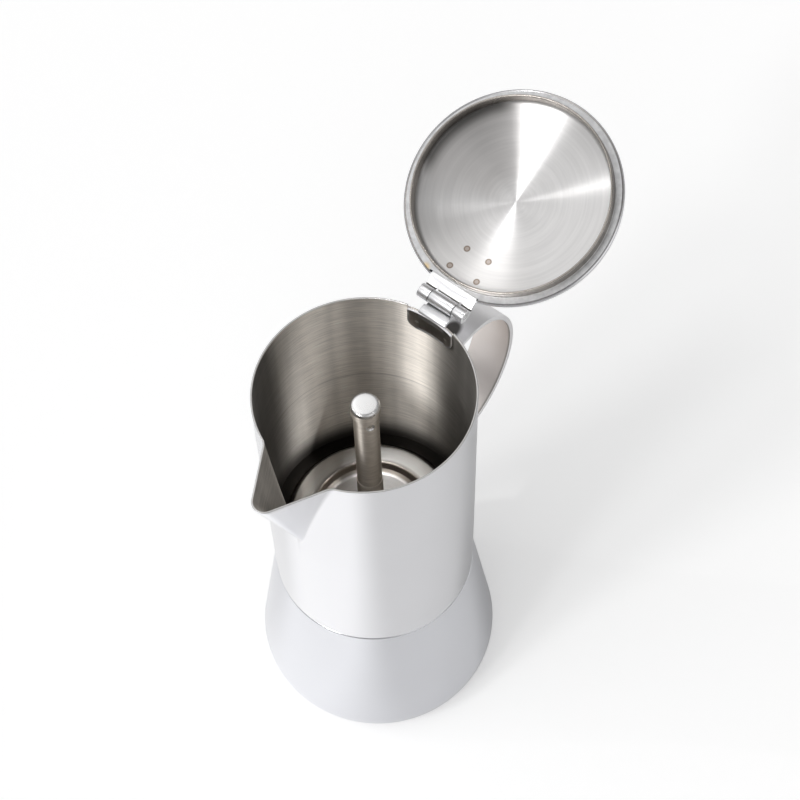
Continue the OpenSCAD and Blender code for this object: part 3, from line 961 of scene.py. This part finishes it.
brushLines = makeBrushLines()
turnedLines = makeTurnedLines()


def useGroup(tree, group, vector):
    node = addNode(tree, "ShaderNodeGroup", node_tree=group)
    link(tree, vector, node.inputs["Vector"])
    return node.outputs


def newMaterial(name):
    material = bpy.data.materials.new(name)
    material.use_nodes = True
    return material, material.node_tree, material.node_tree.nodes["Principled BSDF"]


def objectPlace(tree):
    return addNode(tree, "ShaderNodeTexCoord").outputs["Object"]


def slant(tree):
    return addNode(tree, "ShaderNodeLayerWeight").outputs["Facing"]


def steel(name, rough, metallic=1.0, anisotropic=0.0):
    material, tree, shader = newMaterial(name)
    shader.inputs["Metallic"].default_value = metallic
    shader.inputs["Roughness"].default_value = rough
    shader.inputs["Anisotropic"].default_value = anisotropic
    return material, tree, shader


# across the tool marks of a piece turned about an axis: the way its highlights spread
def turnedTangent(tree, shader, centre=(0, 0, 0), axis=(0, 0, 1)):
    place = addNode(tree, "ShaderNodeTexCoord").outputs
    off = vectorCalc(tree, "SUBTRACT", place["Object"], tuple(centre))
    around = vectorCalc(tree, "NORMALIZE", vectorCalc(tree, "CROSS_PRODUCT", off, tuple(axis)))
    across = vectorCalc(tree, "CROSS_PRODUCT", around, place["Normal"])
    toWorld = addNode(tree, "ShaderNodeVectorTransform", vector_type="VECTOR",
                      convert_from="OBJECT", convert_to="WORLD")
    link(tree, across, toWorld.inputs[0])
    link(tree, toWorld.outputs[0], shader.inputs["Tangent"])


# coordinates of the lid as it lies when closed
def closedPlace(tree):
    back = addNode(tree, "ShaderNodeMapping", vector_type="POINT")
    link(tree, objectPlace(tree), back.inputs["Vector"])
    home = openLid.inverted()
    back.inputs["Location"].default_value = home.translation
    back.inputs["Rotation"].default_value = home.to_euler()
    return back.outputs[0]


# a soft, slightly clouded steel of one tone
def cloudedSteel(name, tone, rough, cloud=0.06, size=60.0, metallic=1.0):
    material, tree, shader = steel(name, rough, metallic)
    dark = tuple(c * (1 - cloud) for c in tone)
    light = tuple(min(1.0, c * (1 + cloud)) for c in tone)
    clouded, patch = clouds(tree, objectPlace(tree), size, dark, light)
    paint(tree, shader, clouded, spread(tree, patch, rough - 0.02, rough + 0.02))
    return material


# brushed round the wall, with painted shade where it is seen at a slant, at the foot and in the spout
def makeInsideSteel():
    tones = {"line": (0.88, 0.83, 0.765), "rough": 0.55, "slant": (0.52, 0.71), "paintedSlantShade": 0.20,
             "spout": (-41.0, -38.5), "paintedSpoutShade": 0.60, "streak": (0.84, 1.08),
             "darkLineAt": jug["rim"] - jug["spoutDrop"] + 1.3, "darkLineEdge": (0.2, 0.7), "darkLineTone": 0.84,
             "foot": (0.05, 0.046, 0.042), "footShadeFrom": 1.0, "footShadeTop": 17.0}
    material, tree, shader = steel("brushedInside", tones["rough"], 1.0, 1.0)
    turnedTangent(tree, shader)
    place = objectPlace(tree)
    brush = useGroup(tree, brushLines, place)
    parts = split(tree, place)
    # painted shade: darker where the wall is seen at a slant, and darker in the spout
    paintedShade = ramp(tree, slant(tree), *tones["slant"], 1.0, tones["paintedSlantShade"])
    onWall = rampMm(tree, parts["X"], *tones["spout"])
    low = tones["paintedSpoutShade"]
    paintedShade = calc(tree, "MULTIPLY_ADD", onWall, calc(tree, "SUBTRACT", paintedShade, low), low)
    streak = spread(tree, noise(tree, place, 1.0, (95, 95, 5), 2.0), *tones["streak"])
    shade = times(tree, times(tree, brush["Shade"], streak), paintedShade)
    # a faint darker line runs round the wall at the foot of the spout
    off = calc(tree, "ABSOLUTE", calc(tree, "SUBTRACT", parts["Z"], tones["darkLineAt"] * mm))
    shade = times(tree, shade, rampMm(tree, off, *tones["darkLineEdge"], tones["darkLineTone"], 1.0))
    lined = blend(tree, 1.0, tones["line"], threefold(tree, shade, "Color"), "MULTIPLY")
    # painted shade: darker towards the foot of the wall, above the trough of the floor
    floorAt = jugFloorSize["trough"]
    paintedFootShade = rampMm(tree, parts["Z"], floorAt + tones["footShadeFrom"], floorAt + tones["footShadeTop"])
    rough = calc(tree, "ADD", brush["Rough"], tones["rough"])
    paint(tree, shader, blend(tree, paintedFootShade, tones["foot"], lined), rough)
    return material


# plateau and ring, with a painted highlight on the ring and painted shade in the bend between them and in the
# trough
def makeFloorSteel():
    f = jugFloorSize
    reach, bright = 42.0, (1.0, 0.98, 0.95)
    # painted light: the bright ring tone stands in for a highlight, the dark bend and trough for shade
    stops = [(0.0, (0.86, 0.84, 0.82)), (f["plateauEdge"] - 0.3, (0.80, 0.78, 0.76)),
             (f["ringFoot"] - 1.2, (0.22, 0.195, 0.17)), (f["ringFrom"], (0.24, 0.21, 0.18)),
             (f["ringFrom"] + 1.8, bright), (f["ringTo"] + 1.0, bright),
             (f["troughFrom"] - 0.2, (0.34, 0.32, 0.29)), (f["troughFrom"] + 1.0, (0.11, 0.10, 0.09))]
    material, tree, shader = steel("pressedFloor", 0.29, 1.0, 0.3)
    turnedTangent(tree, shader)
    place = objectPlace(tree)
    lines = useGroup(tree, turnedLines, place)
    tone = addNode(tree, "ShaderNodeValToRGB")
    elements = tone.color_ramp.elements
    while len(elements) < len(stops):
        elements.new(0.5)
    for element, (at, color) in zip(elements, stops):
        element.position = at / reach
        element.color = (*color, 1)
    radius = flatPlace(tree, place)[1]
    link(tree, times(tree, radius, 1 / (reach * mm)), tone.inputs["Fac"])
    shade = threefold(tree, lines["Shade"], "Color")
    paint(tree, shader, blend(tree, 0.5, tone.outputs[0], shade, "MULTIPLY"))
    return material


# turned pan of the lid, with spot welds, painted shade in two sectors and a painted dark shade in the hollow
# of its bend
def makeTurnedSteel():
    welds = {"places": ((25.5, 5.1), (34.6, 6.35)), "ring": (1.05, 1.5), "core": (0.65, 0.95),
             "ringTone": (0.28, 0.22, 0.18), "coreTone": (0.50, 0.44, 0.40)}
    paintedShadeSectors = (((116, 18, 62, 2.0, 14.0), (0.74, 0.73, 0.725)), ((0, 24, 60, 8.0, 30.0), (0.86, 0.855, 0.85)))
    paintedHollowShade = {"sector": (111, 24, 40, 32.5, 38.4), "round": (37.0, 38.5), "roundShare": 0.6,
              "tone": (0.15, 0.145, 0.14)}
    material, tree, shader = steel("turnedSteel", 0.33, 1.0, 1.0)
    axis = openLid.to_3x3() @ Vector((0, 0, 1))
    turnedTangent(tree, shader, openLid @ Vector((0, 0, lid["top"] * mm)), axis)
    closed = closedPlace(tree)
    lines = useGroup(tree, turnedLines, closed)
    tone = blend(tree, 0.75, (0.80, 0.79, 0.785), threefold(tree, lines["Shade"], "Color"), "MULTIPLY")
    # the two pairs of spot welds lie mirrored about the XZ plane
    folded = foldY(tree, split(tree, closed), "X")
    for x, y in welds["places"]:
        off = awayFrom(tree, folded, (x, y, 0))
        for part in ("ring", "core"):
            tone = blend(tree, rampMm(tree, off, *welds[part], 1.0, 0.0), tone, welds[part + "Tone"])
    # painted shade: two sectors of the pan are darkened
    for place, paintedShade in paintedShadeSectors:
        tone = blend(tree, sector(tree, closed, *place), tone, paintedShade, "MULTIPLY")
    # painted shade: the hollow of the bend is darkened in one sector and all round its outer edge
    bend = rampMm(tree, flatPlace(tree, closed)[1], *paintedHollowShade["round"], 0.0, paintedHollowShade["roundShare"])
    dark = calc(tree, "MAXIMUM", sector(tree, closed, *paintedHollowShade["sector"]), bend)
    paint(tree, shader, blend(tree, dark, tone, paintedHollowShade["tone"]))
    return material


# sheet with rows of holes set in triangles, out to a reach from its middle; the holes are painted as
# near-black dots, painted shade
def makePerforated(name, pitch, hole, reach, tone):
    material, tree, shader = steel(name, 0.3)
    place, radius = flatPlace(tree, objectPlace(tree))
    step = (pitch * mm, pitch * mm * 1.732, 1)
    half = (step[0] / 2, step[1] / 2, 0)
    paintedHoleShade = None
    for shift in ((0, 0, 0), half):
        moved = vectorCalc(tree, "ADD", place, shift)
        cell = vectorCalc(tree, "SNAP", vectorCalc(tree, "ADD", moved, half), step)
        away = vectorCalc(tree, "LENGTH", vectorCalc(tree, "SUBTRACT", moved, cell))
        dot = rampMm(tree, away, hole * 0.85, hole * 1.1, 1.0, 0.0)
        paintedHoleShade = calc(tree, "MAXIMUM", paintedHoleShade, dot) if paintedHoleShade else dot
    paintedHoleShade = times(tree, paintedHoleShade, rampMm(tree, radius, reach - 0.3, reach, 1.0, 0.0))
    paint(tree, shader, blend(tree, paintedHoleShade, tone, (0.02, 0.02, 0.02)))
    return material


# satin ring of the pan's flange, tinted gold by the weld at one end of its notch
def makeFlangeSteel():
    tint = {"at": (40.3, 13.6, 0), "edge": (0.4, 2.6), "tone": (0.66, 0.50, 0.26)}
    material, tree, shader = steel("flangeSteel", 0.36)
    closed = closedPlace(tree)
    tone = clouds(tree, closed, 420.0, (0.50, 0.50, 0.505), (0.62, 0.62, 0.625))[0]
    off = awayFrom(tree, flatPlace(tree, closed)[0], tint["at"])
    paint(tree, shader, blend(tree, rampMm(tree, off, *tint["edge"], 1.0, 0.0), tone, tint["tone"]))
    return material


# dark mirror of the bracket plate, with its two spot welds
def makePlateSteel():
    weld = {"at": (0, 6.8, jug["rim"] - 8.0), "edge": (0.51, 1.02), "tone": (0.95, 0.93, 0.90)}
    material, tree, shader = steel("bracketPlateSteel", 0.3)
    place = objectPlace(tree)
    off = awayFrom(tree, foldY(tree, split(tree, place), "Z"), weld["at"])
    tone = clouds(tree, place, 160.0, (0.50, 0.48, 0.455), (0.62, 0.595, 0.565), detail=2.0)[0]
    paint(tree, shader, blend(tree, rampMm(tree, off, *weld["edge"], 1.0, 0.0), tone, weld["tone"]))
    return material


# drawn tube of the coffee column, with painted shade where it is seen at a slant
def makeColumnSteel():
    tones = {"dark": (0.78, 0.72, 0.65), "light": (0.93, 0.865, 0.79), "slant": (0.52, 0.80),
             "paintedSlantTone": (0.40, 0.36, 0.31)}
    material, tree, shader = steel("columnSteel", 0.52, 1.0, 0.95)
    turnedTangent(tree, shader)
    tone = clouds(tree, objectPlace(tree), 1.0, tones["dark"], tones["light"], (160, 160, 900))[0]
    # painted shade: darker where the tube is seen at a slant
    paint(tree, shader, blend(tree, ramp(tree, slant(tree), *tones["slant"]), tone, tones["paintedSlantTone"]))
    return material


# leaf painted near white as a painted reflection, with a painted shadow line along its fold before the
# knuckles
def makeLeafSteel():
    line = {"at": hinge["foldAt"], "edge": (0.2, 0.48), "tone": (0.10, 0.095, 0.09)}
    material, tree, shader = steel("leafSteel", 0.34, 0.6)
    parts = split(tree, closedPlace(tree))
    # painted shadow: a dark line along the fold; the near-white tone is a painted reflection
    off = calc(tree, "ABSOLUTE", calc(tree, "SUBTRACT", parts["X"], line["at"] * mm))
    paintedFoldShadow = rampMm(tree, off, *line["edge"], 1.0, 0.0)
    paint(tree, shader, blend(tree, paintedFoldShadow, (0.93, 0.93, 0.93), line["tone"]))
    return material


# satin band with painted shade: darker where it bends round, along one border of its inner side, and over
# that side near the top
def makeHandleSteel():
    tones = {"straight": (0.97, 0.92, 0.88), "bend": (0.86, 0.805, 0.765), "bendShadeFrom": (56.0, 82.0),
             "border": (-8.6, -7.6), "upperShade": (-9.5, -3.0), "upperShadeFrom": (186.0, 200.0), "share": 0.85,
             "dark": (0.36, 0.335, 0.31)}
    material, tree, shader = steel("handleSteel", 0.42)
    place = objectPlace(tree)
    parts = split(tree, place)
    patch = spread(tree, noise(tree, place, 34.0, (1, 1, 1), 3.0), -0.15, 0.15)
    # painted shade: darker towards the bend
    bend = calc(tree, "ADD", rampMm(tree, parts["X"], *tones["bendShadeFrom"]), patch)
    tone = blend(tree, bend, tones["straight"], tones["bend"])
    # painted shade: a dark line along one border, widening near the top
    line, upperShade = (rampMm(tree, parts["Y"], *tones[name], 1.0, 0.0) for name in ("border", "upperShade"))
    upperShade = times(tree, upperShade, rampMm(tree, parts["Z"], *tones["upperShadeFrom"]))
    dark = times(tree, calc(tree, "MAXIMUM", line, upperShade), tones["share"])
    paint(tree, shader, blend(tree, dark, tone, tones["dark"]))
    return material


# outer side of the band, with a painted shadow under the hinge
def makeHandleOutside():
    under = {"at": (52.0, -1.5, handle["top"]), "reach": (5.6, 3.7, 5.0), "edge": (0.6, 1.15),
             "tone": (0.10, 0.095, 0.09)}
    material, tree, shader = steel("handleOutside", 0.36)
    place = objectPlace(tree)
    tone, patch = clouds(tree, place, 34.0, (0.854, 0.844, 0.849), (0.906, 0.896, 0.901))
    # painted shadow: a dark spot on the band under the hinge
    off = vectorCalc(tree, "SUBTRACT", place, tuple(v * mm for v in under["at"]))
    away = vectorCalc(tree, "LENGTH", vectorCalc(tree, "DIVIDE", off, tuple(v * mm for v in under["reach"])))
    shadow = ramp(tree, away, *under["edge"], 1.0, 0.0)
    paint(tree, shader, blend(tree, shadow, tone, under["tone"]), spread(tree, patch, 0.34, 0.38))
    return material


finish = {
    "polished": cloudedSteel("polishedSteel", (0.83, 0.83, 0.85), 0.17, 0.008, 30.0),
    "boiler": cloudedSteel("boilerSteel", (0.762, 0.768, 0.80), 0.18, 0.008, 30.0),
    "rim": cloudedSteel("rimSteel", (0.52, 0.51, 0.50), 0.32, 0.06, 220.0),
    "inside": makeInsideSteel(),
    "floor": makeFloorSteel(),
    "turned": makeTurnedSteel(),
    "flange": makeFlangeSteel(),
    # painted shade: a dark tone for the plug wall of the lid pan and the notch floor of the jug rim
    "plug": cloudedSteel("shadedPlugSteel", (0.42, 0.39, 0.36), 0.26, 0.2, 60.0),
    "column": makeColumnSteel(),
    "cap": cloudedSteel("capSteel", (0.80, 0.795, 0.79), 0.28, 0.03, 160.0),
    "handle": makeHandleSteel(),
    "handleOutside": makeHandleOutside(),
    "hinge": cloudedSteel("hingeSteel", (0.63, 0.63, 0.64), 0.38, 0.03, 90.0),
    "plate": makePlateSteel(),
    "leaf": makeLeafSteel(),
    "pin": cloudedSteel("pinSteel", (0.70, 0.70, 0.70), 0.24, 0.03, 200.0),
    "satin": cloudedSteel("satinSteel", (0.66, 0.65, 0.64), 0.32, 0.04, 60.0),
    "core": cloudedSteel("aluminiumCore", (0.70, 0.70, 0.71), 0.42, 0.05, 90.0),
    "base": cloudedSteel("baseSteel", (0.60, 0.60, 0.60), 0.34, 0.05, 50.0),
    "sieve": makePerforated("sieveSteel", 2.0, 0.32, 29.0, (0.68, 0.67, 0.66)),
    "plateHoles": makePerforated("filterSteel", 1.6, 0.22, 30.0, (0.72, 0.71, 0.70)),
    "brass": cloudedSteel("valveBrass", (0.76, 0.58, 0.29), 0.26, 0.06, 200.0),
    "seal": cloudedSteel("sealSilicone", (0.80, 0.78, 0.73), 0.6, 0.02, 80.0, 0.0),
    "washer": cloudedSteel("washerSilicone", (0.45, 0.06, 0.04), 0.55, 0.05, 150.0, 0.0),
}


def dress(piece, *materials):
    piece.data.materials.clear()
    for material in materials:
        piece.data.materials.append(material)


def dressFaces(piece, wanted, slot):
    for face in piece.data.polygons:
        if wanted(face.center, face.normal):
            face.material_index = slot


nodeFinish = {
    "base_core": "core", "base_cap": "base", "funnel_basket": "satin", "funnel_stem": "satin",
    "funnel_screen": "sieve", "gasket": "seal", "filter_plate": "plateHoles", "column_stub": "column",
    "valve_nut": "satin", "valve_washer": "washer", "valve_body": "brass", "valve_ring": "pin",
    "valve_pin": "brass", "valve_spring": "pin",
}
for nodeName, finishName in nodeFinish.items():
    dress(frame["nodes"][nodeName], finish[finishName])
dress(jugWall, finish["polished"], finish["inside"], finish["rim"], finish["plug"])
dressFaces(jugWall, lambda c, n: n.x * c.x + n.y * c.y < 0, 1)
dressFaces(jugWall, lambda c, n: n.z > 0.6, 2)
# painted shade: the floor of the rim's notch under the hinge is dressed dark
notchShadeBelow = jug["rim"] - 0.6 * jug["notchDeep"]
dressFaces(jugWall, lambda c, n: n.z > 0.6 and c.x > 0 and c.z < notchShadeBelow * mm, 3)
dress(jugFloorPlate, finish["floor"])
dress(columnTop, finish["cap"], finish["column"])
dressFaces(columnTop, lambda c, n: n.z < -0.1 or c.z < (columnCap["top"] - 2.0) * mm, 1)
dress(columnTube, finish["column"], finish["cap"])


# the pressed rim of an outlet: near its height, near the outside, and leaning off the tube's own round
def isOutlet(c, n):
    height = columnCap["foot"] - columnTubeSize["outletDrop"]
    radius = math.hypot(c.x, c.y)
    leaning = abs(n.x * c.x + n.y * c.y) < 0.93 * radius
    return abs(c.z / mm - height) < 2.4 and leaning and radius / mm > columnTubeSize["radius"] - 0.9


dressFaces(columnTube, isOutlet, 1)
dress(boilerBody, finish["boiler"])
dress(screwCollar, finish["satin"])
dress(lidShell, finish["polished"])
dress(lidPan, finish["turned"], finish["flange"], finish["plug"])
lidHome = openLid.inverted()


def lidRadius(point):
    home = lidHome @ point
    return math.hypot(home.x, home.y) / mm


def isPlug(c, n):
    return lidRadius(c) > lid["plug"] - lid["hem"] - 0.15 and (lidHome @ c).z < (lid["foot"] - 0.1) * mm


dressFaces(lidPan, lambda c, n: lidRadius(c) > lid["plug"] - 0.05, 1)
dressFaces(lidPan, isPlug, 2)
dress(handleLoop, finish["handleOutside"], finish["handle"])
handleMiddle = Vector(((jug["radius"] + handle["arm"]) * mm, 0, (handle["top"] + handle["low"]) / 2 * mm))
dressFaces(handleLoop, lambda c, n: abs(n.y) < 0.3 and n.dot(Vector((c.x, 0, c.z)) - handleMiddle) < 0, 1)
dress(jugBracket, finish["hinge"], finish["plate"])


# the pressed-in face of the bracket plate
def isPlateFace(c, n):
    pressed = math.hypot(c.x, c.y) > (jug["radius"] - jug["wall"] - hinge["sheet"] + 0.3) * mm
    below = c.z < (jug["rim"] - jug["notchDeep"] - 0.3) * mm
    return pressed and below and n.x < -0.7 and abs(c.y) < (hinge["plateHalf"] - 0.4) * mm


dressFaces(jugBracket, isPlateFace, 1)
dress(lidLeaf, finish["hinge"], finish["leaf"])
dressFaces(lidLeaf, lambda c, n: (lidHome @ c).x < (hinge["foldAt"] + 0.6) * mm, 1)
dress(hingeWire, finish["pin"])
print("finishes done")

# studio

# sizes in metres; a patch of sky is a direction, its inner and outer angle, and its strength
studio = {
    "floorSize": 40.0,
    "floorColor": (0.80, 0.80, 0.80),
    # what the floor adds for the camera, and for the steel on its bright and on its grey side
    "floorLift": 0.345,
    "mirrorLift": (0.42, 0.05),
    "mirrorEdge": (-0.044, 0.026),
    "mirrorAcross": (0.6144, -0.7888, 0.0),
    # the floor behind the pot is less bright for the steel
    "behind": (0.7888, 0.6144, 0.0),
    "behindEdge": (-0.035, 0.01),
    "behindShare": 0.50,
    "mirrorNear": 0.13,
    # plain sky and its brighter side, then plain sky for the steel and the soft panels in it
    "skyDiffuse": (0.34, 1.30),
    "brightSide": ((-0.83, 0.12, 0.54), 25, 60),
    "skyGlossy": 0.36,
    "panels": (((0.36, 0.33, 0.87), 14, 26, 0.60),
               ((-0.28, 0.22, 0.935), 6, 24, 0.22),
               ((-0.80, -0.04, 0.60), 5, 20, 0.30),
               ((-0.13, -0.80, 0.58), 10, 30, 0.50),
               ((-0.10, 0.68, 0.72), 12, 40, 0.75)),
}
lamps = {
    "sideLamp": {"from": (-0.705, 0.240, 0.667), "angle": 10.0, "power": 0.50},
    "lowLamp": {"from": (-0.800, 0.045, 0.598), "angle": 9.0, "power": 0.42},
    "leftLamp": {"from": (-0.440, 0.721, 0.524), "angle": 0.8, "power": 0.085},
}
# lamps with a narrow beam, each aimed at a place inside the jug: aim and reach in millimetres
beams = {
    "leftBeam": {"aim": (5, 41, 136), "from": (0.28, -0.366, 0.888), "reach": 20, "power": 29.0},
    "rightBeam": {"aim": (40, 11.5, 140), "from": (-0.256, 0.149, 0.955), "reach": 19, "power": 18.0},
    "floorBeam": {"aim": (27, 1, 115), "from": (0.08, 0.055, 0.995), "reach": 12, "power": 90.0},
}
beamShape = {"away": 1.5, "size": 0.02, "soft": 0.6}


def makeFloor():
    deselectAll()
    bpy.ops.mesh.primitive_plane_add(size=studio["floorSize"], location=(0, 0, 0))
    piece = named("studioFloor")
    material, tree, shader = newMaterial("paleFloor")
    shader.inputs["Base Color"].default_value = (*studio["floorColor"], 1)
    shader.inputs["Roughness"].default_value = 1.0
    shader.inputs["Specular IOR Level"].default_value = 0.0
    shader.inputs["Emission Color"].default_value = (1, 1, 1, 1)
    path = addNode(tree, "ShaderNodeLightPath")
    place = addNode(tree, "ShaderNodeNewGeometry").outputs["Position"]
    # far from the pot the two edges widen with the distance, so that they stay soft from every side
    away = calc(tree, "MAXIMUM", vectorCalc(tree, "LENGTH", place), studio["mirrorNear"])
    widen = calc(tree, "DIVIDE", studio["mirrorNear"], away)
    place = vectorCalc(tree, "MULTIPLY", place, threefold(tree, widen))
    across = vectorCalc(tree, "DOT_PRODUCT", place, studio["mirrorAcross"])
    behind = vectorCalc(tree, "DOT_PRODUCT", place, studio["behind"])
    dim = ramp(tree, behind, *studio["behindEdge"], 1.0, studio["behindShare"])
    mirror = times(tree, ramp(tree, across, *studio["mirrorEdge"], *studio["mirrorLift"]), dim)
    seen = times(tree, path.outputs["Is Camera Ray"], studio["floorLift"])
    lift = calc(tree, "MULTIPLY_ADD", path.outputs["Is Glossy Ray"], mirror, seen)
    link(tree, lift, shader.inputs["Emission Strength"])
    dress(piece, material)
    return piece


# how near a direction of the sky lies to another: 1 within the inner angle, 0 beyond the outer one
def skyPatch(tree, direction, toward, inner, outer):
    near = vectorCalc(tree, "DOT_PRODUCT", direction, tuple(Vector(toward).normalized()))
    return ramp(tree, near, math.cos(math.radians(outer)), math.cos(math.radians(inner)))


def makeWorld():
    world = bpy.data.worlds.new("paleStudio")
    bpy.context.scene.world = world
    world.use_nodes = True
    tree = world.node_tree
    background = tree.nodes["Background"]
    background.inputs["Color"].default_value = (1, 1, 1, 1)
    direction = addNode(tree, "ShaderNodeTexCoord").outputs["Generated"]
    path = addNode(tree, "ShaderNodeLightPath")
    plain, bright = studio["skyDiffuse"]
    patch = skyPatch(tree, direction, *studio["brightSide"])
    forDiffuse = calc(tree, "MULTIPLY_ADD", patch, bright - plain, plain)
    forGlossy = studio["skyGlossy"]
    for toward, inner, outer, extra in studio["panels"]:
        patch = skyPatch(tree, direction, toward, inner, outer)
        forGlossy = calc(tree, "MULTIPLY_ADD", patch, extra, forGlossy)
    strength = 1.0
    for ray, value in (("Is Diffuse Ray", forDiffuse), ("Is Glossy Ray", forGlossy)):
        drop = calc(tree, "SUBTRACT", value, strength)
        strength = calc(tree, "MULTIPLY_ADD", path.outputs[ray], drop, strength)
    link(tree, strength, background.inputs["Strength"])


def addLight(name, kind, power, way):
    data = bpy.data.lights.new(name, kind)
    data.energy = power
    light = bpy.data.objects.new(name, data)
    bpy.context.scene.collection.objects.link(light)
    light.rotation_euler = way.to_track_quat("Z", "Y").to_euler()
    return light


def makeBeam(name, beam):
    way = Vector(beam["from"]).normalized()
    light = addLight(name, "SPOT", beam["power"], way)
    light.location = Vector(beam["aim"]) * mm + way * beamShape["away"]
    light.data.shadow_soft_size = beamShape["size"]
    light.data.spot_size = 2 * math.atan(beam["reach"] * mm / beamShape["away"])
    light.data.spot_blend = beamShape["soft"]


makeFloor()
makeWorld()
for name, lamp in lamps.items():
    addLight(name, "SUN", lamp["power"], Vector(lamp["from"])).data.angle = math.radians(lamp["angle"])
for name, beam in beams.items():
    makeBeam(name, beam)

# camera

view = {
    "place": (-0.2664, -0.2371, 0.8087),
    "target": (0.0534, 0.0270, 0.1100),
    "roll": -1.917,
    "lens": 83.9,
    "sensor": 36,
}


def makeCamera():
    data = bpy.data.cameras.new("photoCamera")
    data.lens = view["lens"]
    data.sensor_width = view["sensor"]
    camera = bpy.data.objects.new("photoCamera", data)
    bpy.context.scene.collection.objects.link(camera)
    camera.location = view["place"]
    look = Vector(view["target"]) - Vector(view["place"])
    turn = look.to_track_quat("-Z", "Y").to_matrix() @ Matrix.Rotation(math.radians(view["roll"]), 3, "Z")
    camera.rotation_euler = turn.to_euler()
    bpy.context.scene.camera = camera


makeCamera()
bpy.context.scene.view_settings.view_transform = "Standard"

print("moka pot: done")
